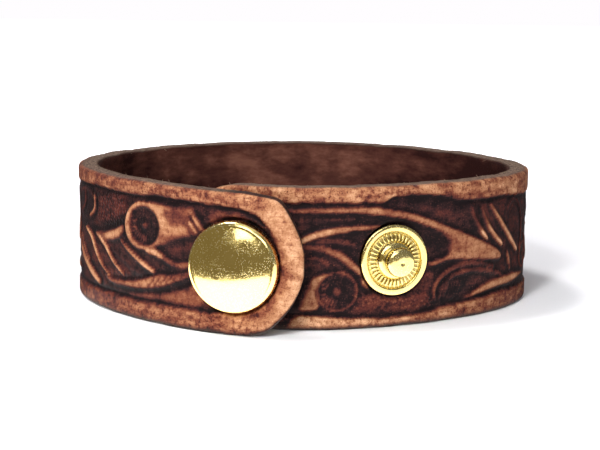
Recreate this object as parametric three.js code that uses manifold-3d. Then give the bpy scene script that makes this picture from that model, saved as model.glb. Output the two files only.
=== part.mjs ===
// A tooled leather cuff bracelet: one strip of thick leather bent into a loop, whose round end laps over the
// other end and is held there by a brass snap. A second stud gives a tighter setting.
// Millimetres, +Z up. The loop rests on its long edge, with the fastening at the front, on the -Y side.
import * as THREE from "three";
import { mergeVertices } from "three/addons/utils/BufferGeometryUtils.js";
import Module from "manifold-3d";

// Strap: the strip of leather
const strapWidth = 19;
const leatherThickness = 3;
const endReach = 9.3; // from a snap's axis to the tip of the round end beyond it
const tipHalfHeight = 1.6; // the round end closes on a short flat
const outerEdgeRound = 0.5;
const innerEdgeChamfer = 0.35;

// Tooling: a plain rail along each edge, and between the rails a field that is beaten down
const railWidth = 2.2;
const fieldDepth = 0.5;
const grooveDepth = 0.65; // the cut beside each rail goes deeper than the field
const grooveWidth = 0.4;
const grooveRun = 1.1; // from the rail to where the field is level
const fieldEndMargin = 2.4; // plain leather between the field and the tip

// Loop, measured on its outer face
const loopHalfWidth = 33.5;
const loopHalfDepth = 34.7;
const diagonalTuck = 0.038; // share of the radius that is lost midway between the front, sides and back
const snapAngle = -14.8; // degrees round the loop from the front
const mergeSweep = 95; // degrees in which the under layer comes out to the loop

// Snap hardware, in pressed brass
const studSpacing = 19.7; // along the strap, from the fastened stud to the spare one
const capRadius = 6;
const capHeight = 3;
const capDome = 0.95; // rise of the face over its rim
const flangeRadius = 4.7;
const flangeThickness = 0.6;
const pressedEdge = 0.15; // rounding on the edges of the pressed brass
const ribCount = 36;
const ribOuterRadius = 3.7;
const ribInnerRadius = 2.7;
const ribDepth = 0.22;
const ballRadius = 2;
const neckRadius = 1.7;
const ballRise = 2.6; // from the flange to the top of the ball
const ballFlatRadius = 0.6;
const crownThickness = 0.8; // metal over the stud's hollow
const socketRadius = 4.9;
const socketBodyRadius = 3.3;
const socketFlange = 0.5;
const postFlangeRadius = 4.5;
const postFlangeThickness = 0.9;
const barrelRadius = 1.15;
const barrelWall = 0.35;

// Fits
const seatGap = 0.2; // clear space between pieces that rest on each other
const seatMargin = 0.3; // round a flange that is pressed into the leather
const capSeatDepth = 1.4; // from the rails' face down to the flat seat under the cap
const studSeatDepth = 1.2; // and to the one under a stud
const postSeatDepth = 0.5; // from the inner face down to the seat under a post
const leastWeb = 0.6; // leather left between the cap and the socket

// Fineness
const stationCount = 84;
const endStations = 6;
const turnSegments = 40;
const holeSegments = 24;

const midHeight = strapWidth / 2;
const fieldHalfHeight = midHeight - railWidth;
const fieldReach = endReach - fieldEndMargin;
const holeRadius = barrelRadius + seatGap;

// Heights on a snap's axis, from the rails' face of its own layer
const capBase = seatGap - capSeatDepth;
const socketSeat = -capSeatDepth - leastWeb;
const socketBase = socketSeat - seatGap;
const capBarrelEnd = socketBase - barrelWall;
const studBase = seatGap - studSeatDepth;
const flangeTop = studBase + flangeThickness;
const postSeat = postSeatDepth - leatherThickness;
const postBase = postSeat - seatGap;
const postBarrelEnd = flangeTop + ballRise - crownThickness - seatGap;

// The fastened stud's ball just clears the end of the cap's barrel, which sets the layers apart
const layerDrop = flangeTop + ballRise + seatGap - capBarrelEnd;
const socketEnd = flangeTop + ribDepth + seatGap - layerDrop;

const wasm = await Module();
wasm.setup();

// A closed geometry as a solid that can be joined and cut
function toSolid(geometry) {
  const bare = new THREE.BufferGeometry();
  bare.setAttribute("position", geometry.getAttribute("position").clone());
  if (geometry.index) bare.setIndex(geometry.index.clone());
  const merged = mergeVertices(bare, 1e-4);
  return new wasm.Manifold(
    new wasm.Mesh({
      numProp: 3,
      vertProperties: new Float32Array(merged.attributes.position.array),
      triVerts: new Uint32Array(merged.index.array),
    }),
  );
}

function toGeometry(solid) {
  const mesh = solid.getMesh();
  const geometry = new THREE.BufferGeometry();
  geometry.setAttribute("position", new THREE.BufferAttribute(mesh.vertProperties, 3));
  geometry.setIndex(new THREE.BufferAttribute(mesh.triVerts, 1));
  geometry.computeVertexNormals();
  return geometry;
}

// The strap's outer face seen from above, from the hidden under end, round the loop, to the end on top.
// An angle of 0 is the front of the loop, and angles grow towards +X.
const snapRadians = THREE.MathUtils.degToRad(snapAngle);
const mergeRadians = THREE.MathUtils.degToRad(mergeSweep);
const lapRadians = endReach / loopHalfDepth;
const pathMargin = lapRadians * 2;
const sweep = 2 * Math.PI + 2 * pathMargin;

// The loop is an ellipse, a little flatter on its diagonals
function loopPoint(angle) {
  const reach = 1 - (diagonalTuck * (1 - Math.cos(4 * angle))) / 2;
  return new THREE.Vector2(loopHalfWidth * Math.sin(angle), -loopHalfDepth * Math.cos(angle))
    .multiplyScalar(reach);
}

class StrapPath extends THREE.Curve {
  getPoint(t, target = new THREE.Vector3()) {
    const angle = snapRadians - pathMargin + t * sweep;
    const point = loopPoint(angle);
    // The under layer lies further in along the loop's outward normal, until it has come out
    const step = loopPoint(angle + 1e-4).sub(loopPoint(angle - 1e-4)).normalize();
    const merged = THREE.MathUtils.smootherstep(angle - snapRadians - lapRadians, 0, mergeRadians);
    const drop = layerDrop * (1 - merged);
    return target.set(point.x - step.y * drop, point.y + step.x * drop, 0);
  }
}

const path = new StrapPath();
path.arcLengthDivisions = 1800;

// Length along the path at a share t of its sweep
function lengthAt(t) {
  const lengths = path.getLengths();
  const place = t * (lengths.length - 1);
  const before = Math.floor(place);
  return THREE.MathUtils.lerp(lengths[before], lengths[before + 1], place - before);
}

// The point on the outer face at that length, with the way along the strap and the way out of it
function frameAt(length) {
  const t = path.getUtoTmapping(0, length);
  const along = path.getTangent(t);
  return {
    point: path.getPoint(t),
    along,
    outward: new THREE.Vector3(along.y, -along.x, 0),
  };
}

const nearStudLength = lengthAt(pathMargin / sweep);
const farStudLength = nearStudLength + studSpacing;
const capLength = lengthAt((pathMargin + 2 * Math.PI) / sweep);

// The round ends are ellipses, cut off where they are as narrow as the tip
const outlineReach = endReach / Math.sqrt(1 - (tipHalfHeight / midHeight) ** 2);

// Half the height that a round end leaves at a distance past its centre
function roundEnd(halfHeight, reach, beyond) {
  const share = THREE.MathUtils.clamp(beyond / reach, 0, 1);
  return halfHeight * Math.sqrt(1 - share * share);
}

// The strap's cross-section at a length, as [depth below the outer face, height above the middle] pairs
function sectionAt(length) {
  const beyond = Math.max(nearStudLength - length, length - capLength, 0);
  const half = roundEnd(midHeight, outlineReach, beyond);
  const atTip = beyond > endReach - 1e-6;
  const skin = atTip ? outerEdgeRound : 0;
  const flesh = leatherThickness - (atTip ? innerEdgeChamfer : 0);
  const leastField = (tipHalfHeight - outerEdgeRound) * 0.75;
  const field = Math.max(roundEnd(fieldHalfHeight, fieldReach, beyond), leastField);
  const open = THREE.MathUtils.smoothstep(field, leastField, fieldHalfHeight * 0.4);
  const arc = outerEdgeRound * (1 - Math.SQRT1_2);
  const lower = [
    [flesh, half - innerEdgeChamfer],
    [flesh - innerEdgeChamfer, half],
    [skin + outerEdgeRound, half],
    [skin + arc, half - arc],
    [skin, half - outerEdgeRound],
    [skin, field],
    [skin + grooveDepth * open, field - grooveWidth * open - leastField * 0.2],
    [skin + fieldDepth * open, field - grooveRun * open - leastField * 0.4],
  ];
  const upper = lower.map(([depth, height]) => [depth, -height]).reverse();
  return [...upper, ...lower];
}

// Lengths of the sections: close together in the round ends, even between them
function stationLengths() {
  const lastTurn = Math.asin(endReach / outlineReach);
  const ends = Array.from(
    { length: endStations },
    (_, i) => outlineReach * Math.sin(((i + 1) / endStations) * lastTurn),
  );
  const middle = Array.from({ length: stationCount + 1 }, (_, i) =>
    THREE.MathUtils.lerp(nearStudLength, capLength, i / stationCount),
  );
  return [
    ...ends.map((reach) => nearStudLength - reach).reverse(),
    ...middle,
    ...ends.map((reach) => capLength + reach),
  ];
}

// A closed skin through the strap's sections, with a flat cover on each end
function strapBlank() {
  const positions = [];
  const indices = [];
  const lengths = stationLengths();
  for (const length of lengths) {
    const { point, outward } = frameAt(length);
    for (const [depth, height] of sectionAt(length)) {
      positions.push(
        point.x - outward.x * depth,
        point.y - outward.y * depth,
        midHeight + height,
      );
    }
  }
  const ring = sectionAt(lengths[0]).length;
  for (let s = 0; s < lengths.length - 1; s += 1) {
    for (let k = 0; k < ring; k += 1) {
      const a = s * ring + k;
      const b = s * ring + ((k + 1) % ring);
      indices.push(a, b, a + ring, b, b + ring, a + ring);
    }
  }
  // The end sections bulge outwards all round, so a fan from one corner covers them
  const last = (lengths.length - 1) * ring;
  for (let k = 1; k < ring - 1; k += 1) {
    indices.push(0, k + 1, k, last, last + k, last + k + 1);
  }
  const geometry = new THREE.BufferGeometry();
  geometry.setAttribute("position", new THREE.Float32BufferAttribute(positions, 3));
  geometry.setIndex(indices);
  return geometry;
}

// The place of a snap's axis: local +Y points out of the strap, and y = 0 is its outer face
function snapPlace(length) {
  const { point, along, outward } = frameAt(length);
  const across = new THREE.Vector3().crossVectors(along, outward);
  return new THREE.Matrix4()
    .makeBasis(along, outward, across)
    .setPosition(point.x, point.y, midHeight);
}

// Takes a round plug out of the strap, between two heights on a snap's axis
function bored(solid, length, radius, low, high) {
  const plug = new THREE.CylinderGeometry(radius, radius, high - low, holeSegments)
    .translate(0, (low + high) / 2, 0)
    .applyMatrix4(snapPlace(length));
  return solid.subtract(toSolid(plug));
}

function strapGeometry() {
  let solid = toSolid(strapBlank());
  const studSeats = { top: -studSeatDepth, outer: flangeRadius, under: postSeat, inner: postFlangeRadius };
  const capSeats = { top: -capSeatDepth, outer: capRadius, under: socketSeat, inner: socketRadius };
  const snaps = [
    { length: nearStudLength, ...studSeats },
    { length: farStudLength, ...studSeats },
    { length: capLength, ...capSeats },
  ];
  const plugLength = leatherThickness * 1.5;
  for (const { length, top, outer, under, inner } of snaps) {
    solid = bored(solid, length, holeRadius, -plugLength, plugLength);
    solid = bored(solid, length, outer + seatMargin, top, top + plugLength);
    solid = bored(solid, length, inner + seatMargin, under - plugLength, under);
  }
  return toGeometry(solid);
}

// A turned piece from its [radius, height] outline
function turned(outline, segments = turnSegments) {
  return new THREE.LatheGeometry(
    outline.map(([radius, height]) => new THREE.Vector2(radius, height)),
    segments,
  );
}

// Cap: a shallow dome with a rolled rim, closed below, whose hollow barrel goes down through the leather
function capGeometry() {
  const rimTop = capHeight - capDome;
  const roll = rimTop / 2;
  const faceRadius = capRadius - roll * 0.45;
  const face = [1, 0.8, 0.6, 0.4, 0.2, 0].map((share) => [
    faceRadius * share,
    rimTop + capDome * (1 - share * share),
  ]);
  const bore = barrelRadius - barrelWall;
  const barrelEnd = capBarrelEnd - capBase;
  return turned([
    [0, -barrelWall],
    [bore, -barrelWall],
    [bore, barrelEnd],
    [barrelRadius, barrelEnd],
    [barrelRadius, 0],
    [capRadius - roll * 0.5, 0],
    [capRadius - roll * 0.12, roll * 0.4],
    [capRadius, roll],
    [capRadius - roll * 0.12, roll * 1.6],
    ...face,
  ]);
}

// Socket: a ring on the inner face under the cap, open below so that the stud's ball goes in
function socketGeometry() {
  const bore = barrelRadius + seatGap;
  const cavity = ballRadius + seatGap;
  const end = socketEnd - socketBase;
  return turned([
    [bore, 0],
    [bore, -barrelWall],
    [cavity, -barrelWall * 2],
    [cavity, end],
    [socketBodyRadius - pressedEdge, end],
    [socketBodyRadius, end + pressedEdge],
    [socketBodyRadius, -socketFlange],
    [socketRadius - pressedEdge, -socketFlange],
    [socketRadius, -socketFlange / 2],
    [socketRadius - pressedEdge, 0],
    [bore, 0],
  ]);
}

// Stud: a flange with pressed radial ribs, a raised middle and the ball that snaps into a socket
function studGeometry() {
  const bore = barrelRadius + seatGap;
  const top = flangeThickness + ballRise;
  const boreTop = top - crownThickness;
  const waist = flangeThickness + ballRise * 0.36;
  const widest = flangeThickness + ballRise * 0.68;
  const outline = [
    { radius: 0, height: boreTop },
    { radius: bore, height: boreTop },
    { radius: bore, height: 0 },
    { radius: flangeRadius - pressedEdge, height: 0 },
    { radius: flangeRadius, height: flangeThickness / 2 },
    { radius: flangeRadius - pressedEdge, height: flangeThickness },
    { radius: ribOuterRadius, height: flangeThickness - ribDepth / 2, ribbed: true },
    { radius: ribInnerRadius, height: flangeThickness, ribbed: true },
    { radius: ribInnerRadius - pressedEdge, height: flangeThickness + ribDepth / 2 },
    { radius: (neckRadius + ballRadius) / 2, height: flangeThickness + ballRise * 0.2 },
    { radius: neckRadius, height: waist },
    { radius: ballRadius, height: widest },
    { radius: ballRadius * 0.8, height: widest + (top - widest) * 0.62 },
    { radius: ballFlatRadius, height: top },
    { radius: 0, height: top },
  ];
  const segments = ribCount * 2;
  const geometry = turned(
    outline.map(({ radius, height }) => [radius, height]),
    segments,
  );
  // Every other line of the turned surface is raised where the flange is ribbed
  const position = geometry.getAttribute("position");
  for (let turn = 1; turn < segments; turn += 2) {
    outline.forEach(({ height, ribbed }, k) => {
      if (ribbed) position.setY(turn * outline.length + k, height + ribDepth);
    });
  }
  return geometry;
}

// Post: a domed flange on the inner face, whose hollow barrel goes up through the leather into the stud
function postGeometry() {
  const bore = barrelRadius - barrelWall;
  const barrelEnd = postBarrelEnd - postBase;
  return turned([
    [bore, barrelEnd],
    [bore, -postFlangeThickness],
    [barrelRadius + pressedEdge, -postFlangeThickness],
    [postFlangeRadius * 0.7, -postFlangeThickness * 0.85],
    [postFlangeRadius - pressedEdge, -postFlangeThickness * 0.4],
    [postFlangeRadius, -pressedEdge],
    [postFlangeRadius - pressedEdge, 0],
    [barrelRadius, 0],
    [barrelRadius, barrelEnd],
    [bore, barrelEnd],
  ]);
}

const leather = new THREE.MeshStandardMaterial({ color: 0x6b3a22, roughness: 0.62, metalness: 0 });
const brass = new THREE.MeshStandardMaterial({ color: 0xd9b84a, roughness: 0.18, metalness: 1 });

function piece(name, geometry, material, height = 0) {
  const mesh = new THREE.Mesh(geometry, material);
  mesh.name = name;
  mesh.position.y = height;
  return mesh;
}

// A group that stands on a snap's axis
function snapGroup(length, ...pieces) {
  const group = new THREE.Group();
  const place = snapPlace(length);
  group.position.setFromMatrixPosition(place);
  group.quaternion.setFromRotationMatrix(place);
  group.add(...pieces);
  return group;
}

// The two halves of a stud clamp the leather between them
function studAndPost(name, length) {
  return snapGroup(
    length,
    piece(`${name}_stud`, studGeometry(), brass, studBase),
    piece(`${name}_post`, postGeometry(), brass, postBase),
  );
}

const bracelet = new THREE.Group();
bracelet.add(
  piece("strap", strapGeometry(), leather),
  snapGroup(
    capLength,
    piece("snap_cap", capGeometry(), brass, capBase),
    piece("snap_socket", socketGeometry(), brass, socketBase),
  ),
  studAndPost("near", nearStudLength),
  studAndPost("far", farStudLength),
);

// The origin is on the surface that the loop stands on, under the middle of the whole object
const extent = new THREE.Box3().setFromObject(bracelet, true);
const middle = extent.getCenter(new THREE.Vector3());
bracelet.position.set(-middle.x, -middle.y, -extent.min.z);

export default bracelet;
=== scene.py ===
# %% [markdown]
# A tooled leather cuff bracelet. One strip of thick leather is bent into a loop, its round end laps over the
# other end, and a brass snap holds the two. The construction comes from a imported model, so every size here
# repeats a real one. The looks are made here: the carved scrollwork, the dark stain that stays in the cuts,
# the raw cut edge and the polished brass.

# %% Load the construction
import math
import bpy
import bmesh
import numpy as np
from mathutils import Matrix, Vector


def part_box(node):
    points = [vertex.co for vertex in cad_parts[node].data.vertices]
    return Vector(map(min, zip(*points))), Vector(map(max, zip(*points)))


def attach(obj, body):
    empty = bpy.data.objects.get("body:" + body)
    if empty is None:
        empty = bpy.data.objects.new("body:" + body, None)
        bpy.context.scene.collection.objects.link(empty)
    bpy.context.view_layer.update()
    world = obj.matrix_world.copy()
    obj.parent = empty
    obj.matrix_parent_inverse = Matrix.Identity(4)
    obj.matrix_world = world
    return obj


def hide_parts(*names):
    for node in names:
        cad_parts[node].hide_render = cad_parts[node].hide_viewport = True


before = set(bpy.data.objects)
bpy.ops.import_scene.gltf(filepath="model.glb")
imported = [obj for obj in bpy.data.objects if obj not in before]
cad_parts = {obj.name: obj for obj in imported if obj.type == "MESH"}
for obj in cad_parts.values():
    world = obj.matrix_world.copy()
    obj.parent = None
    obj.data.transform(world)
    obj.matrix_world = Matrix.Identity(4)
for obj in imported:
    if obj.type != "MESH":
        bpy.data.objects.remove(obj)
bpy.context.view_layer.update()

MM = 0.001

# %% [markdown]
# The camera comes first. The photograph was taken from close by, a little above the loop's rim, so the near
# edge sags and the far rim shows. A camera is a position, a direction and a lens: these values were solved
# from the edges of the strap in the picture. A small shift does what a slightly off-centre crop did.

# %% Camera
PICTURE_WIDTH = 600
SENSOR = 36.0
FOCAL_PIXELS = 1432.4
OPTICAL_CENTRE = (303.0, 225.2)
PICTURE_CENTRE = (300.0, 225.0)
CAMERA_DISTANCE = 216.6 * MM
CAMERA_ELEVATION = math.radians(8.83)
CAMERA_ROLL = math.radians(0.735)
STRAP_WIDTH = 19.0 * MM
LOOP_HALF_WIDTH = 33.5 * MM
LOOP_HALF_DEPTH = 34.7 * MM

strap_low, strap_high = (np.array(corner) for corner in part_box("strap"))
loop_centre = np.array([(strap_low[0] + strap_high[0]) / 2, strap_high[1] - LOOP_HALF_DEPTH, 0.0])
print("loop centre in mm:", (loop_centre / MM).round(2))


def add_camera():
    """The photograph's viewpoint, aimed at the middle of the loop."""
    data = bpy.data.cameras.new("camera")
    data.sensor_width = SENSOR
    data.lens = SENSOR * FOCAL_PIXELS / PICTURE_WIDTH
    data.shift_x = -(OPTICAL_CENTRE[0] - PICTURE_CENTRE[0]) / PICTURE_WIDTH
    data.shift_y = (OPTICAL_CENTRE[1] - PICTURE_CENTRE[1]) / PICTURE_WIDTH
    data.clip_start = 5 * MM
    camera = bpy.data.objects.new("camera", data)
    bpy.context.collection.objects.link(camera)
    away = Vector((0, -math.cos(CAMERA_ELEVATION), math.sin(CAMERA_ELEVATION)))
    aim = Vector(loop_centre) + Vector((0, 0, STRAP_WIDTH / 2))
    turn = away.to_track_quat("Z", "Y").to_matrix() @ Matrix.Rotation(CAMERA_ROLL, 3, "Z")
    camera.matrix_world = Matrix.Translation(aim + away * CAMERA_DISTANCE) @ turn.to_4x4()
    bpy.context.scene.camera = camera
    return camera


camera = add_camera()
print("camera at mm:", [round(v / MM, 1) for v in camera.location], "lens:", round(camera.data.lens, 1))

# %% [markdown]
# The strap follows one line, seen from above: from the hidden end inside, round the loop, to the end on top.
# Anything on the strap is then placed by three numbers: how far along, how far up, and how deep below the
# face. This is how a leather worker thinks of it too, because the pattern is cut on a flat strip before the
# strip is bent.

# %% The line that the strap follows
DIAGONAL_TUCK = 0.038
SNAP_ANGLE = math.radians(-14.8)
LAYER_DROP = 4.95 * MM
MERGE_SWEEP = math.radians(95)
END_REACH = 9.3 * MM
TIP_HALF_HEIGHT = 1.6 * MM
THICKNESS = 3.0 * MM
STUD_SPACING = 19.7 * MM
PATH_STEPS = 24000


def loop_point(angle):
    """The loop's outer face from above: an ellipse, a little flatter on its diagonals."""
    reach = 1 - DIAGONAL_TUCK * (1 - np.cos(4 * angle)) / 2
    return np.stack([LOOP_HALF_WIDTH * np.sin(angle) * reach, -LOOP_HALF_DEPTH * np.cos(angle) * reach], -1)


def smoother(share):
    """0 to 1 with a soft start and end."""
    share = np.clip(share, 0, 1)
    return share**3 * (10 - 15 * share + 6 * share**2)


def unit(vectors):
    """Vectors cut or stretched to a length of one."""
    return vectors / np.linalg.norm(vectors, axis=-1, keepdims=True)


def outward_of(steps):
    """The direction out of the strap, for steps along it."""
    steps = unit(steps)
    return np.stack([steps[:, 1], -steps[:, 0]], -1)


lap = END_REACH / LOOP_HALF_DEPTH
path_angle = np.linspace(SNAP_ANGLE - 2 * lap, SNAP_ANGLE + 2 * math.pi + 2 * lap, PATH_STEPS)
path_point = loop_point(path_angle)
under = 1 - smoother((path_angle - SNAP_ANGLE - lap) / MERGE_SWEEP)
path_point -= outward_of(np.gradient(path_point, axis=0)) * (LAYER_DROP * under)[:, None]
path_outward = outward_of(np.gradient(path_point, axis=0))
path_length = np.concatenate([[0], np.cumsum(np.linalg.norm(np.diff(path_point, axis=0), axis=1))])
path_length -= np.interp(SNAP_ANGLE, path_angle, path_length)
path_point += loop_centre[:2]

NEAR_STUD = 0.0
FAR_STUD = STUD_SPACING
CAP = float(np.interp(SNAP_ANGLE + 2 * math.pi, path_angle, path_length))
print("from snap to snap along the strap, mm:", round(CAP / MM, 1))


def spot(along, depth=0.0):
    """Plan position and outward direction at a length along the strap and a depth below its face."""
    point = np.stack([np.interp(along, path_length, path_point[:, k]) for k in (0, 1)], -1)
    outward = unit(np.stack([np.interp(along, path_length, path_outward[:, k]) for k in (0, 1)], -1))
    return point - outward * np.asarray(depth)[..., None], outward


# %% [markdown]
# The strap is a closed skin drawn over a grid: stations along it, and a ring of points round each station.
# The grid is fine on the face, because the carving is real relief and not a picture of one. It is finest at
# the front, where the eye goes, and wider where the leather is plain.

# %% Sizes of the strip and its grid
FRONT_STEP = 0.215 * MM
BACK_STEP = 0.44 * MM
FRONT_REACH = 50 * MM
END_STATIONS = 34
TIP_REACH = 8.85 * MM
TIP_UPPER = [(0, 9.15), (1.5, 8.97), (3, 8.8), (4.2, 8.62), (5.1, 8.38), (5.7, 8.0), (6.3, 7.3), (6.9, 6.3),
             (7.6, 5.1), (8.3, 3.5), (8.7, 2.1), (8.85, 1.5)]
TIP_LOWER = [(0, 9.5), (2, 9.4), (4.2, 8.6), (6.0, 6.95), (7.3, 5.3), (8.3, 3.3), (8.75, 1.8), (8.85, 1.4)]
TIP_DIP = 0.35 * MM
TIP_DIP_RUN = 20 * MM
HIDDEN_END_POWER = 3.2
FACE_COLUMNS = 66
EDGE_ROUND = 0.5 * MM
INNER_ROUND = 0.35 * MM
INNER_COLUMNS = 30

half_width = STRAP_WIDTH / 2
outline_reach = END_REACH / math.sqrt(1 - (TIP_HALF_HEIGHT / half_width) ** 2)
print("the round ends' full reach in mm:", round(outline_reach / MM, 2))


# %% Helpers for soft steps, curves and hand-made lines
def steps(low, high, size):
    """Even steps from low up to, but without, high."""
    return np.linspace(low, high, max(2, round((high - low) / size)), endpoint=False)


def soft(low, high, value):
    """0 below low, 1 above high, smooth between."""
    share = np.clip((value - low) / (high - low), 0, 1)
    return share * share * (3 - 2 * share)


def smooth_line(points, closed=False, fineness=14):
    """A curve through a few chosen points."""
    points = np.array(points, float)
    if closed:
        padded = np.concatenate([points[-1:], points, points[:2]])
    else:
        padded = np.concatenate([2 * points[:1] - points[1:2], points, 2 * points[-1:] - points[-2:-1]])
    share = np.linspace(0, 1, fineness, endpoint=False)[:, None]
    pieces = []
    for a, b, c, d in zip(padded, padded[1:], padded[2:], padded[3:]):
        pieces.append(0.5 * (2 * b + (c - a) * share + (2 * a - 5 * b + 4 * c - d) * share**2
                             + (3 * b - a - 3 * c + d) * share**3))
    return np.concatenate(pieces + ([] if closed else [points[-1:]]))


WAVE_KNOTS = 400
WAVE_START = 60


def wave(values, size, seed):
    """Slow random wandering along the strap, for lines cut by hand."""
    knots = np.random.default_rng(seed).normal(0, 1, WAVE_KNOTS)
    position = values / size + WAVE_START
    low = np.floor(position).astype(int)
    share = soft(0, 1, position - low)
    return knots[low % WAVE_KNOTS] * (1 - share) + knots[(low + 1) % WAVE_KNOTS] * share


print("a soft step from 0 to 1, in quarters:", soft(0, 1, np.linspace(0, 1, 5)).round(2))

# %% Stations along the strap
round_end = outline_reach * np.sin(np.linspace(0, math.asin(END_REACH / outline_reach), END_STATIONS + 1))[1:]
stations = np.concatenate([
    -round_end[::-1],
    steps(0, FRONT_REACH, FRONT_STEP),
    steps(FRONT_REACH, CAP - FRONT_REACH * 0.8, BACK_STEP),
    steps(CAP - FRONT_REACH * 0.8, CAP, FRONT_STEP),
    CAP + np.concatenate([[0], round_end]) * (TIP_REACH / END_REACH),
])
print("stations along the strap:", len(stations))

# %% Hand-cut outline and columns across
# both ends were cut by hand: the one on top is blunt and uneven, the hidden one is squarer
past_tip = (stations - CAP) / MM
half_up = half_width - TIP_DIP * soft(CAP - TIP_DIP_RUN, CAP, stations)
half_down = half_width * np.ones(len(stations))
on_tip = past_tip > 0
half_up[on_tip] = np.interp(past_tip[on_tip], *smooth_line(TIP_UPPER).T) * MM
half_down[on_tip] = np.interp(past_tip[on_tip], *smooth_line(TIP_LOWER).T) * MM
hidden_end = (1 - np.clip(-stations / outline_reach, 0, 1) ** HIDDEN_END_POWER) ** (1 / HIDDEN_END_POWER)
half_up = half_up * hidden_end
half_down = half_down * hidden_end
half_up = half_up + (wave(stations / MM, 2.6, 11) * 0.035 + wave(stations / MM, 0.8, 12) * 0.02) * MM
half_down = half_down - np.abs(wave(stations / MM, 3.1, 13)) * 0.03 * MM

edge_columns = 1 - np.array([0.0, 0.08, 0.2, 0.34, 0.5]) * (MM / half_width)
flat_columns = np.linspace(-1, 1, FACE_COLUMNS) * (1 - 0.75 * MM / half_width)
face_columns = np.concatenate([-edge_columns, flat_columns, edge_columns[::-1]])

along = np.repeat(stations[:, None], len(face_columns), axis=1) / MM
up = np.where(face_columns > 0, half_up[:, None], half_down[:, None]) * face_columns / MM
print("columns on the face:", len(face_columns))

# %% [markdown]
# Carving. A leather worker cases the strip with water, cuts the outlines with a swivel knife, beats the
# ground down round the forms, and presses petals and seeds with stamps. Here the same acts are done on two
# maps over the grid: how far each point lies below the face, and how much tan shows through the dark stain.
# The stain is wiped off the high places and stays in the cuts, so both maps are made by the same strokes.
# All places in these tables are millimetres along the strap and up from its middle line.

# %% Maps over the grid
GROUND = -0.44
GROUND_TONE = 0.24
BELOW_ALL = -9.0
STROKE_REACH = 2.5
KNIFE_REACH = 1.5
face_height = np.full(along.shape, GROUND)
tan = np.full(along.shape, GROUND_TONE)
stipple = np.zeros(along.shape)
print("map size:", face_height.shape)


# %% Which points of the grid a line is near
def window(line, margin):
    """The stations whose lengths are near a line."""
    lengths = stations / MM
    low, high = line[:, 0].min() - margin, line[:, 0].max() + margin
    first, last = np.searchsorted(lengths, (low, high))
    return slice(int(first), int(last))


def nearest(line, rows):
    """For each grid point, the distance to a line and the share of the way along it."""
    a, b = line[:-1], line[1:]
    step = b - a
    size = np.maximum((step**2).sum(-1), 1e-12)
    offset = np.stack([along[rows], up[rows]], -1)[..., None, :] - a
    share = np.clip((offset * step).sum(-1) / size, 0, 1)
    gap = np.linalg.norm(offset - share[..., None] * step, axis=-1)
    pick = gap.argmin(-1)
    chosen = np.take_along_axis(share, pick[..., None], -1)[..., 0]
    return gap.min(-1), (pick + chosen) / len(a)


def inside(line, rows):
    """Which grid points lie inside a closed line."""
    x, y = along[rows][..., None], up[rows][..., None]
    a, b = line, np.roll(line, -1, axis=0)
    crosses = (a[:, 1] > y) != (b[:, 1] > y)
    rise = np.where(np.abs(b[:, 1] - a[:, 1]) < 1e-9, 1e-9, b[:, 1] - a[:, 1])
    reach = a[:, 0] + (y - a[:, 1]) * (b[:, 0] - a[:, 0]) / rise
    return (np.sum(crosses & (x < reach), axis=-1) % 2).astype(bool)


print("stations within 5 mm of the spare stud:", window(np.array([[FAR_STUD / MM, 0]]), 5.0))


# %% Strokes that leave a form standing
def cut_round(rows, distance, strength=1.0):
    """The bevelled cut that leaves a form standing: deep and dark beside it, fading out into the ground."""
    ground_only = 1 - soft(-0.36, -0.16, face_height[rows])
    near = np.exp(-((distance - 0.15) / 0.4) ** 2) * ground_only * strength
    face_height[rows] -= 0.18 * near
    tan[rows] *= 1 - 0.85 * near


def ridge(points, width, top=-0.08, tone=0.8, halo=1.0, flank=0.0):
    """A raised line that thins out to both ends; width and tone may be (start, end).
    A flank is a lower, redder slope that falls away to one side."""
    line = smooth_line(points)
    rows = window(line, STROKE_REACH)
    gap, share = nearest(line, rows)
    if flank:
        fall, _ = nearest(line + np.array([flank, 0]), rows)
        slope = 1 - soft(0.1, 1.1, fall)
        face_height[rows] = np.maximum(face_height[rows], GROUND + 0.45 * (top - GROUND) * slope)
        tan[rows] += (0.36 - tan[rows]) * slope
    width = np.interp(share, [0, 1], np.broadcast_to(width, 2)) / 2
    tone = np.interp(share, [0, 1], np.broadcast_to(tone, 2))
    width = width * (0.3 + 0.7 * np.sin(math.pi * np.clip(share, 0.02, 0.98)) ** 0.55)
    cut_round(rows, gap - width, halo)
    raise_by = 1 - soft(0.25 * width, width + 0.26, gap)
    face_height[rows] = np.maximum(face_height[rows], GROUND + (top - GROUND) * raise_by)
    tan[rows] = np.maximum(tan[rows], 1.08 * tone * soft(0.25, 0.85, raise_by))


def form(points, top=-0.12, tone=0.8, rim=0.4, core=None, dish=0.0):
    """A flat or dished form inside a closed line. The rim keeps its tone, the core may be darker."""
    line = smooth_line(points, closed=True)
    closed = np.concatenate([line, line[:1]])
    rows = window(closed, STROKE_REACH)
    gap, _ = nearest(closed, rows)
    depth_in = np.where(inside(line, rows), gap, -gap)
    cut_round(rows, -depth_in)
    level = top - dish * soft(rim * 0.5, rim * 2.2, depth_in)
    edge = soft(-0.16, 0.3, depth_in)
    raised = GROUND + (level - GROUND) * edge
    face_height[rows] = np.maximum(face_height[rows], np.where(edge > 0, raised, BELOW_ALL))
    tone_here = tone if core is None else tone + (core - tone) * soft(rim, rim * 2.2, depth_in)
    tan[rows] += (tone_here - tan[rows]) * soft(0.0, 0.36, depth_in)


# %% Strokes of the knife, the stain and the stamps
def cut(points, width=0.35, depth=0.4, tone=0.0):
    """A knife line, pressed into whatever is there."""
    line = smooth_line(points)
    rows = window(line, KNIFE_REACH)
    gap, share = nearest(line, rows)
    width = np.interp(share, [0, 1], np.broadcast_to(width, 2)) / 2
    near = np.exp(-(gap / width) ** 2)
    face_height[rows] -= depth * near
    tan[rows] += (tone - tan[rows]) * near


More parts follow.
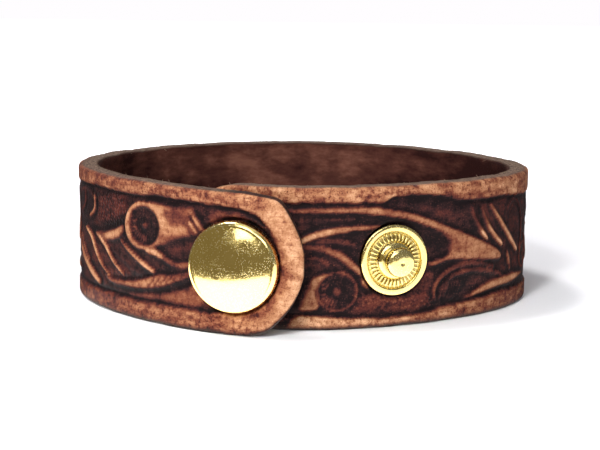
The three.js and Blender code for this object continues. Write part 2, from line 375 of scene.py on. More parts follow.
def shade(points, tone, strength=1.0, blur=0.6):
    """Tone alone, with no relief: pulls the tone towards a value inside a closed line. It lays stain patches, and
    once a painted shadow.
    """
    line = smooth_line(points, closed=True)
    closed = np.concatenate([line, line[:1]])
    rows = window(closed, STROKE_REACH)
    gap, _ = nearest(closed, rows)
    signed = np.where(inside(line, rows), -gap, gap)
    near = (1 - soft(-blur, blur, signed)) * strength
    tan[rows] += (tone - tan[rows]) * near


def matted(points, tone=0.3):
    """Ground beaten with a pebbled stamp, which shows red-brown."""
    line = smooth_line(points, closed=True)
    closed = np.concatenate([line, line[:1]])
    rows = window(closed, STROKE_REACH)
    gap, _ = nearest(closed, rows)
    signed = np.where(inside(line, rows), -gap, gap)
    near = 1 - soft(-0.5, 0.3, signed)
    stipple[rows] = np.maximum(stipple[rows], near)
    tan[rows] += (tone - tan[rows]) * near
    face_height[rows] += 0.14 * near


def seeder(centre, radius, ring=0.5, tone=0.45, dot=0.6, rays=26, wide=1.0, painted_light_and_tone=0.0):
    """A round stamp: a raised ring, a dark dished floor with short rays, and a dot in the middle.
    The rays are painted brighter on the side towards the given angle: a painted highlight, as if light fell into the
    dish."""
    middle = np.array(centre, float)
    reach = np.array([radius * wide, radius]) * 2
    rows = window(np.stack([middle - reach, middle + reach]), 0.5)
    offset = (np.stack([along[rows], up[rows]], -1) - middle) / np.array([wide, 1.0])
    gap = np.linalg.norm(offset, axis=-1)
    angle = np.arctan2(offset[..., 1], offset[..., 0])
    cut_round(rows, np.abs(gap - radius) - ring / 2)
    floor = 1 - soft(radius - 0.15, radius + 0.15, gap)
    band = soft(0.35, 0.5, gap / radius) * (1 - soft(0.78, 0.92, gap / radius))
    ray = soft(0.45, 0.9, 0.5 + 0.5 * np.cos(angle * rays)) * band
    face_height[rows] += (GROUND - 0.06 + 0.16 * ray - face_height[rows]) * floor
    # painted highlight: the rays are lighter on one side, as if lit from there
    bright = 0.16 + 0.44 * soft(-0.3, 0.9, np.cos(angle - painted_light_and_tone))
    tan[rows] += (0.05 + bright * ray - tan[rows]) * floor
    for ring_at, size, top, ring_tone in ((radius, ring / 2, -0.12, tone), (0.0, dot, -0.25, 0.4)):
        raise_by = 1 - soft(0.25 * size, size + 0.2, np.abs(gap - ring_at))
        face_height[rows] = np.maximum(face_height[rows], GROUND + (top - GROUND) * raise_by)
        tan[rows] = np.maximum(tan[rows], ring_tone * soft(0.2, 0.9, raise_by))


# %% [markdown]
# The pattern is the usual western scrollwork: long acanthus leaves whose edges roll over, fern fronds, and
# round seeds with a ring of petals. Two stretches show in the photograph, one on each side of the snap. They
# are written as two small functions, so that the hidden back can carry the same motifs again, turned over.

# %% Where a motif goes
def place(start, flip=False):
    """Gives a function that puts a motif's points at a length along the strap, upside down if wanted."""
    def put(points):
        points = np.array(points, float).reshape(-1, 2)
        return np.stack([points[:, 0] + start, -points[:, 1] if flip else points[:, 1]], -1)
    return put


print("a motif's point (1, 2), put at 10 mm upside down:", place(10.0, flip=True)([(1, 2)]))


# %% The long leaf, which shows to the right of the cap
def long_leaf(put):
    """An acanthus leaf with a rolled edge, its seed below, and the fern that the next stretch starts with."""
    matted(put([(14, -4.6), (20, -5.4), (26, -5.2), (26, -7.2), (18, -7.3), (14, -6.8)]), tone=0.42)
    # the leaf's body is dark; its upper edge rolls over and widens into the tip
    form(put([(6, 4.2), (11, 5.6), (17, 6.0), (24, 4.8), (30, 2.2), (29, 0.2), (25, -0.8), (17, -0.5), (10, 1.5)]),
         top=-0.42, tone=0.22, core=0.1)
    ridge(put([(2, 6.1), (6, 6.45), (10, 6.5), (14, 6.5), (18, 6.2), (22, 5.4)]), (0.5, 1.4), top=-0.08,
          tone=(0.42, 0.8))
    form(put([(16, 6.55), (21, 6.15), (25, 5.0), (29, 3.45), (33, 1.95), (37, 0.35), (39.5, -1.0), (39.5, -2.1),
              (36.5, -1.95), (32.5, -1.5), (28.8, -1.2), (26.0, -1.75), (25.0, -1.15), (28.0, -0.4), (28.9, 0.8),
              (27.8, 2.5), (24, 4.0), (20.4, 5.1), (16, 5.75)]), top=-0.04, tone=0.69, rim=0.5)
    shade(put([(26.6, 3.4), (30, 2.0), (30.6, 0.2), (28.8, 0.2), (28.4, 1.6)]), 0.5, 0.7)
    # inner ridges of the leaf
    ridge(put([(6.6, 2.3), (8.6, 3.2), (11.5, 3.8), (14.5, 4.1), (18, 4.2)]), (1.5, 0.5), top=-0.06,
          tone=(0.86, 0.6))
    ridge(put([(5.4, 5.0), (9, 5.2), (14, 5.2)]), 0.35, top=-0.34, tone=0.26, halo=0.3)
    ridge(put([(6.8, 1.7), (9.4, 1.5), (11.8, 0.6), (13.5, -0.7), (15.4, -2.3)]), (0.8, 1.5), top=-0.12,
          tone=(0.4, 0.76))
    ridge(put([(9.0, 2.3), (11.5, 2.4), (14.0, 1.9)]), 0.6, top=-0.3, tone=0.34, halo=0.3)
    ridge(put([(7.8, 0.1), (9.2, 0.1), (10.4, -0.6)]), 0.5, top=-0.33, tone=0.42, halo=0.5)
    # the seed, and a petal that grows into its ring
    form(put([(6.4, -6.7), (6.6, -4.6), (7.8, -2.8), (9.6, -1.9), (11.2, -1.75), (9.4, -3.2), (8.9, -4.6),
              (9.4, -6.2), (8.6, -6.9)]), top=-0.12, tone=0.76, core=0.6)
    seeder(put([(11.7, -4.3)])[0], 2.55, ring=0.32, tone=0.5, dot=0.72, wide=1.06,
           painted_light_and_tone=math.radians(200))
    form(put([(14.9, -2.7), (16.4, -3.0), (16.4, -4.2), (15.3, -3.9)]), top=-0.1, tone=0.8)
    # small leaf with a ribbed seed, under the long tip
    ridge(put([(26.4, -6.4), (26.3, -4.9), (27.4, -3.4), (29.4, -2.35), (32, -1.95), (35, -2.2), (38, -3.0)]), 0.75,
          top=-0.14, tone=(0.5, 0.3))
    ridge(put([(27.3, -6.2), (27.8, -4.8), (29.6, -3.5), (32, -3.0), (35, -3.1), (38.6, -3.9), (41, -4.8)]),
          (0.5, 0.9), top=-0.2, tone=(0.26, 0.38))
    form(put([(27.6, -5.9), (28.4, -4.4), (30.3, -3.9), (31.6, -4.6), (30.6, -5.9), (29, -6.7)]),
         top=-0.3, tone=0.3, core=0.12)
    for k in range(5):
        cut(put([(28.3 + 0.62 * k, -6.3 + 0.1 * k), (28.9 + 0.55 * k, -5.2), (29.2 + 0.6 * k, -4.1 + 0.05 * k)]),
            0.3, 0.16, tone=0.0)
    form(put([(31.2, -6.8), (33.5, -5.9), (36, -5.1), (40, -4.6), (44.5, -4.6), (48.5, -5.2), (44, -5.9),
              (39.5, -6.1), (35.5, -6.5), (33, -7.0)]), top=-0.06, tone=0.8)
    cut(put([(32, -7.2), (36, -6.8), (41, -6.55), (48.5, -6.4)]), 0.6, 0.12)
    # fern
    for frond, width, tone in (
        ([(32.6, 6.3), (33.3, 4.6), (34.5, 2.9), (36.2, 1.2)], (0.4, 1.1), (0.5, 0.95)),
        ([(34.8, 5.6), (36.0, 3.6), (37.6, 1.8), (39.9, 0.0)], (0.4, 1.1), (0.5, 0.95)),
        ([(36.8, 5.9), (38.8, 3.9), (41.0, 1.8), (44.8, -1.4)], (0.5, 1.3), (0.6, 0.95)),
    ):
        ridge(put(frond), width, top=-0.06, tone=tone, flank=0.4)
    ridge(put([(41.4, 2.6), (41.2, 4.4), (42.6, 6.0), (44.8, 5.6), (46.4, 3.4), (46.8, 0.6), (46.2, -1.6)]),
          (0.3, 0.6), top=-0.14, tone=(0.24, 0.4))
    ridge(put([(41.7, -1.4), (42.6, -3.8)]), 0.8, top=-0.16, tone=0.6)
    shade(put([(30, 6.8), (34, 6.2), (36, 3), (33, 2.6), (30, 4.2)]), 0.06, 0.5)


# %% The scroll, which shows to the left of the cap
def scroll(put):
    """A seed in a rolled petal, a fan of fern fronds below it, and a long curled stem."""
    matted(put([(-27.8, 6.6), (-24, 7.1), (-20.4, 7.0), (-19.2, 5.2), (-20.0, 3.3), (-24, 2.4), (-27.4, 2.4),
                (-28.2, 4.4)]), tone=0.32)
    # leaf pair at the far left
    form(put([(-36.5, 6.4), (-32, 6.9), (-28.6, 6.2), (-28.4, 4.4), (-30.4, 2.6), (-34, 2.3), (-37.4, 3.6)]),
         top=-0.22, tone=0.26, core=0.12, dish=0.15)
    ridge(put([(-28.9, 6.1), (-28.5, 4.9), (-29.3, 3.8), (-30.8, 3.1)]), 0.5, top=-0.1, tone=0.7)
    ridge(put([(-33.2, 6.2), (-33.2, 4.9), (-34.2, 3.9), (-36.4, 3.2)]), 0.35, top=-0.16, tone=0.4)
    cut(put([(-38, 1.8), (-33, 1.3), (-28.4, 1.6), (-23.4, 2.6), (-20.4, 3.4)]), 0.9, 0.1)
    # the frond's shoulder, and its ribs
    form(put([(-28.6, 1.1), (-25.6, 1.5), (-22.6, 2.3), (-20.2, 3.1), (-20.5, 1.5), (-22.4, 0.7), (-24.4, 0.3),
              (-25.6, -0.6), (-26.6, -0.2)]), top=-0.08, tone=0.74, rim=0.3)
    shade(put([(-27.6, 0.9), (-25.4, 1.2), (-25, 0.4), (-26.6, 0.1)]), 0.5, 0.6)
    ridge(put([(-38.2, 0.4), (-36.6, -1.2), (-34.0, -3.2), (-31.0, -4.5), (-27.2, -5.9)]), (0.4, 2.3), top=-0.06,
          tone=(0.5, 0.8))
    ridge(put([(-36.2, -0.3), (-33.6, -2.2), (-31.4, -3.4)]), 0.3, top=-0.14, tone=0.6, halo=0.5)
    ridge(put([(-32.4, 1.1), (-30.0, 0.1), (-28.2, -1.8), (-26.5, -3.2), (-24.2, -4.4)]), (1.1, 0.34), top=-0.06,
          tone=(0.82, 0.8), flank=0.5)
    ridge(put([(-26.6, 0.6), (-25.3, -0.2), (-24.0, -1.3), (-22.5, -2.5), (-20.2, -3.8)]), (1.1, 0.36), top=-0.04,
          tone=(0.84, 0.84), flank=0.5)
    ridge(put([(-20.8, 0.9), (-19.0, -0.2), (-16.8, -1.2), (-15.2, -1.9), (-13.6, -2.5)]), (0.4, 1.0), top=-0.04,
          tone=(0.6, 0.9), flank=0.4)
    ridge(put([(-24.4, 0.0), (-22.6, -0.9), (-20.4, -1.9)]), 0.5, top=-0.34, tone=0.24, halo=0.3)
    ridge(put([(-20.8, -1.4), (-18.4, -2.6), (-15.6, -3.4)]), 0.5, top=-0.36, tone=0.22, halo=0.3)
    # rolled petal round the seed
    form(put([(-17.8, 5.8), (-16.2, 6.7), (-13.4, 6.95), (-10.2, 6.7), (-7.0, 6.75), (-6.1, 5.8), (-4.9, 4.2),
              (-6.2, 3.2), (-8.8, 2.5), (-11.2, 1.6), (-13.6, 0.7), (-15.4, 0.3), (-17.6, 0.5), (-19.2, 1.8),
              (-19.7, 3.4), (-19.2, 4.8)]), top=-0.06, tone=0.75, rim=0.5)
    shade(put([(-11.4, 6.0), (-7.2, 6.1), (-7.0, 4.6), (-10.2, 4.3)]), 0.36, 0.9, blur=0.5)
    shade(put([(-12.4, 2.6), (-9.2, 2.9), (-6.6, 3.6), (-9, 2.4), (-12, 1.4)]), 0.42, 0.8)
    shade(put([(-10.4, 6.8), (-7.0, 6.8), (-7.4, 6.1), (-10.2, 6.2)]), 0.5, 0.7, blur=0.4)
    seeder(put([(-15.5, 3.5)])[0], 2.72, ring=0.24, tone=0.3, dot=0.5, rays=30, wide=1.16, painted_light_and_tone=math.radians(225))
    ridge(put([(-14.2, 6.6), (-16.6, 6.35), (-18.4, 5.3), (-19.3, 3.6), (-18.9, 1.8), (-17.4, 0.7), (-15.2, 0.5)]),
          (0.9, 0.6), top=-0.02, tone=(0.82, 0.6), halo=0.2)
    shade(put([(-7.6, 5.6), (-6.5, 5.95), (-5.6, 4.9), (-5.0, 3.9), (-6.0, 3.2), (-7.2, 3.4)]), 0.34, 0.9, blur=0.3)
    for streak in ([(-6.45, 5.55), (-5.8, 4.75), (-5.2, 3.9)], [(-7.1, 4.85), (-6.6, 4.2), (-6.15, 3.65)]):
        ridge(put(streak), 0.6, top=-0.02, tone=0.84, halo=0.0)
    cut(put([(-7.0, 5.5), (-6.25, 4.55), (-5.75, 3.8)]), 0.3, 0.2, tone=0.04)
    cut(put([(-4.7, 6.6), (-4.2, 5.2), (-4.3, 3.4)]), 0.8, 0.15, tone=0.03)
    shade(put([(-4.0, 7.1), (-1, 7.0), (2, 6.5), (-1.0, 5.6), (-3.8, 4.8)]), 0.42, 0.9)
    # between the petal and the stem
    ridge(put([(-15.0, 0.2), (-13.4, 0.2), (-12.0, -0.4)]), 1.1, top=-0.1, tone=0.8)
    ridge(put([(-12.4, 0.2), (-11.0, -0.7), (-9.2, -1.1), (-6.0, -0.6)]), (0.7, 1.0), top=-0.2, tone=(0.42, 0.55))
    ridge(put([(-12.6, -2.9), (-9.8, -1.9), (-6.2, -1.5)]), 0.7, top=-0.34, tone=0.3, halo=0.3)
    # curled stem
    form(put([(-25.6, -4.6), (-22.8, -4.65), (-19.6, -4.4), (-16.8, -3.95), (-14.4, -3.2), (-12.4, -2.65),
              (-10.2, -2.4), (-8.0, -1.9), (-5.8, -1.0), (-5.4, -1.6), (-7.4, -2.6), (-9.8, -3.6), (-12.8, -4.6),
              (-16.4, -5.25), (-20.2, -5.4), (-23.4, -5.35)]), top=-0.04, tone=0.72, rim=0.3)
    shade(put([(-25.6, -4.6), (-22.6, -4.8), (-20.6, -5.2), (-23.6, -5.3)]), 0.5, 0.7)
    for k in range(7):
        cut(put([(-14.6 + 1.2 * k, -4.8 + 0.42 * k), (-13.4 + 1.2 * k, -3.4 + 0.3 * k)]), 0.32, 0.12, tone=0.3)
    cut(put([(-25, -5.7), (-20, -5.85), (-14, -5.25), (-9, -4.0), (-5.6, -2.4)]), (0.35, 0.5), 0.12)
    shade(put([(-22, -6.3), (-17, -6.1), (-13, -5.6), (-9, -4.7), (-5.4, -3.2), (-5, -5.6), (-7, -6.3), (-14, -6.5)]),
          0.58, 0.95, blur=0.3)


# %% Carve the strip
cap_at = CAP / MM
long_leaf(place(0.0))
scroll(place(cap_at))
hidden = [
    (scroll, 86.5, False),
    (long_leaf, 79.5, True),
    (scroll, 165.5, True),
    (long_leaf, 121.0, False),
]
for motif, start, flip in hidden:
    motif(place(start, flip=flip))
for start, height in ((-3.0, 2.5), (48.2, -2.6), (84.6, 3.6), (127.5, -3.2)):
    seeder((start, height), 1.9, ring=0.4, tone=0.5)
print("carved so far, deepest point in mm:", round(float(face_height.min()), 2))


# %% Soften the carving
def softened(values, share=0.11):
    """Each point gives a little to its neighbours, as damp leather rounds every edge."""
    for axis in (0, 1):
        last = values.shape[axis] - 1
        before = np.take(values, [0, *range(last)], axis)
        after = np.take(values, [*range(1, last + 1), last], axis)
        values = values * (1 - 2 * share) + (before + after) * share
    return values


face_height, tan, stipple = softened(face_height), softened(tan), softened(stipple)
# the strap was bent while it was damp, and the bend flattened the relief at both sides
flattened = np.maximum(np.exp(-((along - cap_at + 41) / 6) ** 2), np.exp(-((along - 49) / 7) ** 2))
face_height *= 1 - 0.5 * flattened
print("softened, deepest point in mm:", round(float(face_height.min()), 2))

# %% [markdown]
# A plain rail borders the field on both long edges and runs round both ends. Its inner line is a deep cut that
# holds the most stain. The rails' faces were rubbed back hard, so they are the lightest leather, but they also
# wear: red and brown streaks lie along them.

# %% Rails and the groove beside them
FIELD_END = 5.7
GROOVE = -0.6
UPPER_LINE = [(-9, 7.5), (5, 7.5), (11, 7.5), (18.1, 7.35), (19.3, 8.0), (22, 8.25), (26, 7.95), (30.5, 7.1),
              (40, 6.75), (50, 6.4), (60, 7.2), (100, 7.4), (150, 7.3), (167, 7.35), (181, 7.65), (194, 7.7),
              (201, 7.5), (204, 7.3), (206, 7.05), (215, 6.9)]
LOWER_LINE = [(-9, 7.4), (6.7, 7.45), (11, 7.6), (17, 8.15), (23.5, 8.15), (26.5, 7.75), (30.5, 7.2), (37, 6.85),
              (47, 6.8), (60, 7.1), (100, 7.3), (150, 7.1), (167, 7.2), (177, 7.0), (185, 6.65), (190, 6.8),
              (198, 6.8), (201, 6.8), (204, 6.3), (215, 6.1)]

past = np.maximum(np.maximum(-along, along - cap_at), 0)
wander = wave(along, 4.0, 1) * 0.07 + wave(along, 0.9, 2) * 0.05
rail_line = np.where(up > 0, np.interp(along, *zip(*UPPER_LINE)), np.interp(along, *zip(*LOWER_LINE)))
rail_line = rail_line + wander * np.where(up > 0, 1, -1)
field_reach = np.hypot(past * rail_line / FIELD_END, up)
into_rail = np.where(past > 0, field_reach, np.abs(up)) - rail_line
wide_cut = np.where(up > 0, soft(16.5, 20, along) * (1 - soft(27, 34, along)), 0)
beside_cap = np.where(up > 0, soft(-7, -3, along - cap_at) * (1 - soft(3, 6, along - cap_at)), 0)
wide_cut = wide_cut + 0.45 * beside_cap
rail = soft(-0.16, 0.26, into_rail)
groove = np.exp(-((np.minimum(into_rail, 0) + 0.1) / (0.4 + 0.8 * wide_cut)) ** 2) * (1 - rail)
groove *= 1 - 0.8 * soft(3, 5.6, along - cap_at)
face_height = face_height + (GROOVE * (1 - 0.5 * flattened) - face_height) * groove
tan = tan * (1 - 0.96 * groove)
face_height = face_height * (1 - rail)
stipple *= 1 - rail
print("share of the face that is rail:", round(float(rail.mean()), 2))

# %% Tone and wear of the rails
RED_BROWN = 0.44
top_tone = np.interp(along, [0, 6, 14, 50, 165, 185, 204, 211], [0.7, 0.73, 0.74, 0.68, 0.55, 0.63, 0.69, 0.77])
low_tone = np.interp(along, [0, 6, 12, 30, 50, 165, 190, 203, 209, 214],
                     [0.9, 0.92, 0.91, 0.66, 0.54, 0.5, 0.55, 0.62, 0.78, 0.8])
lean = soft(-4, 4, up)
rail_tone = low_tone + (top_tone - low_tone) * lean
tan = tan + (rail_tone - tan) * rail
# the rails wear in streaks: along their outer rim on one side of the cap, along the groove on the other
rim_wear = soft(0.9, 1.35, into_rail) * soft(0.1, 0.8, wave(along, 1.7, 41)) * soft(160, 166, along)
groove_wear = (1 - soft(0.45, 1.05, into_rail)) * soft(0.2, 0.9, wave(along, 1.9, 42)) * (1 - soft(46, 50, along))
worn_streaks = np.maximum(rim_wear, groove_wear * soft(7, 9, along)) * rail * soft(-2, 2, up) * (past == 0)
tan += (RED_BROWN - tan) * 0.7 * worn_streaks
print("rails' mean tone:", round(float(tan[rail > 0.5].mean()), 2))

# %% Stain round the cap
SMEAR_TONE = 0.5
# brown smears beside the cap, where the stain was not wiped
from_cap = np.hypot(along - cap_at + 0.6, up + 0.45)
smear = (1 - soft(6.7, 7.8, from_cap)) * soft(0, 3, along - cap_at) * (1 - soft(3.0, 5.5, up)) * rail
smear *= 0.75 + 0.25 * soft(-0.6, 0.6, wave(up + 40, 0.9, 51))
tan += (SMEAR_TONE - tan) * 0.8 * smear
tan += 0.07 * rail * soft(7.2, 8.2, from_cap) * soft(2, 5, along - cap_at)
# between the groove and the cap the ground stayed red-brown
band = (1 - rail) * (1 - groove) * (1 - soft(7.3, 7.8, from_cap)) * soft(1, 3, up) * soft(-4, -2, along - cap_at)
tan += (RED_BROWN - tan) * 0.9 * band
# painted shadow: the lapped end's shadow, and the dark gap under it, are painted dark onto the layer below
shade([(8.0, -1.0), (8.2, -2.4), (7.8, -3.9), (6.9, -6.0), (6.3, -7.5), (5.3, -8.6), (4.6, -9.7), (2.0, -9.7),
       (4.0, -7.0), (5.5, -4.6), (6.6, -2.0)], 0.03, 0.85, blur=0.4)
print("mean tone of the whole face:", round(float(tan.mean()), 2))

# %% [markdown]
# The snap is set through the leather, which gives way under it: the face is pressed flat where a flange sits,
# on both sides. The seats are worked out against the loop's bend, because a flat seat in a bent strap is deep
# in the middle and shallow at its ends.

# %% Seats under the brass
CAP_RADIUS = 6.1 * MM
FLANGE_RADIUS = 4.84 * MM
POST_RADIUS = 4.5 * MM
SOCKET_RADIUS = 4.9 * MM
SEAT_MARGIN = 0.15 * MM
SEAT_BLEND = 0.3 * MM
LEAST_SEAT = 0.3 * MM
PULL_DEPTH = 0.35 * MM
PULL_REACH = 1.8 * MM
# snaps are set by hand: how far each sits along and up from its mark, and how far it leans
CAP_SET = (-0.6 * MM, -0.45 * MM, math.radians(-5))
SPARE_SET = (0.3 * MM, -0.5 * MM, math.radians(5))
TRUE_SET = (0.0, 0.0, 0.0)
CAP_SEAT = 1.4 * MM
STUD_SEAT = 1.2 * MM
POST_SEAT = 2.5 * MM
SOCKET_SEAT = 2.0 * MM


def seat_map(lengths, heights, centre, radius, seat, set_by=TRUE_SET):
    """Where a flat seat lies below the bent face, and a soft mask of it."""
    centre = centre + set_by[0]
    middle, outward = spot(np.array([centre]))
    points, _ = spot(lengths)
    fall = (middle[0] - points) @ outward[0] + (lengths - centre) * math.tan(set_by[2])
    distance = np.hypot(lengths[:, None] - centre, heights - set_by[1])
    mask = 1 - soft(radius, radius + SEAT_BLEND, distance)
    return (seat - fall)[:, None] * np.ones_like(heights), mask, distance - radius


depth = -face_height * MM
for centre, radius, seat, set_by in ((CAP, CAP_RADIUS, CAP_SEAT, CAP_SET),
                                     (NEAR_STUD, FLANGE_RADIUS, STUD_SEAT, TRUE_SET),
                                     (FAR_STUD, FLANGE_RADIUS, STUD_SEAT, SPARE_SET)):
    level, mask, beyond_seat = seat_map(stations, up * MM, centre, radius + SEAT_MARGIN, seat, set_by)
    depth = np.maximum(depth, PULL_DEPTH * (1 - soft(0, PULL_REACH, beyond_seat)))
    depth = depth + (np.maximum(level, LEAST_SEAT) - depth) * mask
    # painted shade: the face under each seat and in a thin ring round it is darkened, where the brass sits on the
    # leather
    tan = tan * (1 - 0.6 * mask)
print("deepest seat in mm:", round(float(depth.max()) / MM, 2))

# %% Rounded rim of the face
END_SPAN = 4 * MM
OUTLINE_SPAN = 8.0

# near the ends the rim runs round, so there the distance to it is measured to the outline itself
outline = np.concatenate([np.stack([stations, half_up], -1), np.stack([stations, -half_down], -1)[::-1]]) / MM
edge_gap = np.minimum(half_up[:, None] / MM - up, half_down[:, None] / MM + up)
start_line = outline[outline[:, 0] < OUTLINE_SPAN]
start_line = np.roll(start_line, -(len(start_line) // 2), axis=0)
tip_line = outline[outline[:, 0] > cap_at - OUTLINE_SPAN]
start_rows = slice(0, int(np.sum(stations < END_SPAN)))
tip_rows = slice(int(np.sum(stations <= CAP - END_SPAN)), len(stations))
for line, rows in ((start_line, start_rows), (tip_line, tip_rows)):
    edge_gap[rows], _ = nearest(line, rows)
rounded = np.clip(EDGE_ROUND - edge_gap * MM, 0, EDGE_ROUND)
depth = depth + EDGE_ROUND - np.sqrt(np.maximum(EDGE_ROUND**2 - rounded**2, 0))
print("points on the rounded rim:", int(np.sum(rounded > 0)))

# %% [markdown]
# Now the strip gets its body. Thick leather shows four surfaces: the carved face, the two cut edges and the
# inner face. One closed skin holds them all, because leather is one piece: each station is a ring of points
# that runs up the face, over the upper edge, down the inner face and back along the lower edge. What a point
# looks like is kept beside it as an attribute, so that the material can tell a cut edge from a face.

# %% Rings of the skin
LOWER_RIM = [1.0, 1.0, 1.0, 1.0, 0.95, 0.6, 0.15]
UPPER_RIM = [0.15, 0.5]
wall_depths = np.array([0.85, 1.3, 1.75, 2.2, 2.65]) * MM
inner_share = np.linspace(1, -1, INNER_COLUMNS)


def skin_rings():
    """Depth and height of every point in the rings, and how far it belongs to a cut edge or the inner face."""
    count = len(stations)
    wall = np.broadcast_to(wall_depths, (count, len(wall_depths)))
    upper = half_up[:, None] * np.ones_like(wall)
    lower = -half_down[:, None] * np.ones_like(wall)
    inner_half = np.where(inner_share > 0, half_up[:, None], half_down[:, None]) - INNER_ROUND
    inner_up = inner_half * inner_share
    inner_depth = np.full(inner_up.shape, THICKNESS)
    for centre, radius, seat, set_by in ((CAP, SOCKET_RADIUS, SOCKET_SEAT, TRUE_SET),
                                         (NEAR_STUD, POST_RADIUS, POST_SEAT, TRUE_SET),
                                         (FAR_STUD, POST_RADIUS, POST_SEAT, SPARE_SET)):
        level, mask, _ = seat_map(stations, inner_up, centre, radius + SEAT_MARGIN, seat, set_by)
        inner_depth = inner_depth + (level - inner_depth) * mask
    depths = np.concatenate([depth, wall, inner_depth, wall[:, ::-1]], axis=1)
    heights = np.concatenate([up * MM, upper, inner_up, lower], axis=1)
    edge, inner = np.zeros(depths.shape), np.zeros(depths.shape)
    face_end = depth.shape[1]
    upper_end = face_end + wall.shape[1]
    inner_end = upper_end + inner_up.shape[1]
    edge[:, :len(LOWER_RIM)] = LOWER_RIM
    edge[:, face_end - len(UPPER_RIM):face_end] = UPPER_RIM
    edge[:, face_end:upper_end] = 1
    edge[:, inner_end:] = 1
    inner[:, upper_end:inner_end] = 1
    return depths, heights, edge, inner


ring_depth, ring_height, ring_edge, ring_inner = skin_rings()
print("points in a ring:", ring_depth.shape[1])

# %% What the material is told about each point
LOWER_RIM_RAW = [0.3, 0.3, 0.3, 0.3, 0.2, 0.1, 0.0]
LOWER_RIM_STAIN_AND_SHADE = [0.1, 0.1, 0.12, 0.3, 0.7, 0.95]
LAPPED_EDGE_STAIN_AND_SHADE = 0.16
LAPPED_EDGE_DARK_SHARE = 0.85


def skin_maps():
    """The carved maps, carried over to the whole skin; off the face they are zero."""
    face_end = tan.shape[1]
    maps = {key: np.zeros(ring_depth.shape) for key in ("tan", "stipple", "rail")}
    maps["tan"][:, :face_end] = tan
    maps["stipple"][:, :face_end] = stipple
    # the lapped end was rubbed smoothest, so its stain is the most even
    maps["rail"][:, :face_end] = rail * (1 - 0.6 * soft(2, 5, along - cap_at))
    maps["cut_edge"] = ring_edge
    maps["inner_face"] = ring_inner
    # the lapped end's cut edge is dark brown and not raw: partly a burnished, stained edge, partly painted shade of
    # the thin gap between the layers
    lapped = soft(-3, 0.5, (stations - CAP) / MM)[:, None]
    upper_end = face_end + len(wall_depths)
    lower_start = ring_depth.shape[1] - len(wall_depths)
    maps["cut_edge"][:, face_end - 3:upper_end] *= 1 - LAPPED_EDGE_DARK_SHARE * lapped
    maps["cut_edge"][:, lower_start:] *= 1 - LAPPED_EDGE_DARK_SHARE * lapped
    maps["tan"][:, face_end:upper_end] = LAPPED_EDGE_STAIN_AND_SHADE * lapped
    maps["tan"][:, lower_start:] = LAPPED_EDGE_STAIN_AND_SHADE * lapped
    # the lower rim is darkened: partly stain, partly painted shade where the strap stands on the paper
    maps["cut_edge"][:, :len(LOWER_RIM_RAW)] *= LOWER_RIM_RAW
    maps["tan"][:, :len(LOWER_RIM_STAIN_AND_SHADE)] *= LOWER_RIM_STAIN_AND_SHADE
    return maps


strap_maps = skin_maps()
print("maps on the skin:", list(strap_maps))


# %% Skin of the strap
def grid_mesh(name, points, ring):
    """A closed tube of rings, with one flat face over each end."""
    count = len(points) // ring
    index = np.arange(count * ring).reshape(count, ring)
    beside = np.roll(index, -1, axis=1)
    quads = np.stack([index[:-1], beside[:-1], beside[1:], index[1:]], -1).reshape(-1, 4)
    faces = quads.tolist() + [index[0][::-1].tolist(), index[-1].tolist()]
    mesh = bpy.data.meshes.new(name)
    mesh.from_pydata(points.tolist(), [], faces)
    return mesh


def build_strap():
    """The strap's skin, with the maps kept as attributes for its material."""
    depths, heights = ring_depth, ring_height
    lengths = np.repeat(stations[:, None], depths.shape[1], axis=1)
    plan, _ = spot(lengths.ravel(), depths.ravel())
    points = np.concatenate([plan, (STRAP_WIDTH / 2 + heights).reshape(-1, 1)], axis=1)
    mesh = grid_mesh("tooled_strap", points, depths.shape[1])
    for key, values in strap_maps.items():
        attribute = mesh.attributes.new(key, "FLOAT", "POINT")
        attribute.data.foreach_set("value", values.ravel().astype(np.float32))
    flat = np.stack([lengths.ravel(), (heights + depths * (ring_edge > 0.9)).ravel()], -1)
    layer = mesh.uv_layers.new(name="strip")
    corner = np.empty(len(mesh.loops), np.int32)
    mesh.loops.foreach_get("vertex_index", corner)
    layer.data.foreach_set("uv", (flat[corner] / (10 * MM)).ravel().astype(np.float32))
    mesh.polygons.foreach_set("use_smooth", np.ones(len(mesh.polygons), bool))
    strap = bpy.data.objects.new("tooled_strap", mesh)
    bpy.context.collection.objects.link(strap)
    return strap


def face_out(thing):
    """Turns every face outwards."""
    work = bmesh.new()
    work.from_mesh(thing.data)
    bmesh.ops.recalc_face_normals(work, faces=work.faces)
    volume = work.calc_volume(signed=True)
    if volume < 0:
        bmesh.ops.reverse_faces(work, faces=work.faces)
    work.to_mesh(thing.data)
    work.free()
    return abs(volume)


strap = build_strap()
volume = face_out(strap)
print("strap faces:", len(strap.data.polygons), "leather in cm3:", round(volume * 1e6, 2))

# %% [markdown]
# Leather. Vegetable-tanned leather takes a dark antique stain, and the worker wipes it off while it is wet, so
# colour follows height. The material reads the carved map and breaks it up with grain, because stain never
# wipes evenly. The cut edge is raw fibre, grey-brown, and the inner face is dyed a plain dark red-brown.

# %% Colours and small helpers for node trees
def colour(red, green, blue):
    """A screen colour, 0 to 255, as the light values that a shader mixes."""
    share = [c / 255 for c in (red, green, blue)]
    return [c / 12.92 if c <= 0.04045 else ((c + 0.055) / 1.055) ** 2.4 for c in share] + [1.0]


def node_adder(tree):
    """A short way to add a node to a tree: sockets are joined and plain values are set."""
    def add(kind, inputs=(), **settings):
        node = tree.nodes.new(kind)
        for key, value in settings.items():
            setattr(node, key, value)
        for key, value in dict(inputs).items():
            if isinstance(value, bpy.types.NodeSocket):
                tree.links.new(value, node.inputs[key])
            else:
                node.inputs[key].default_value = value
        return node
    return add


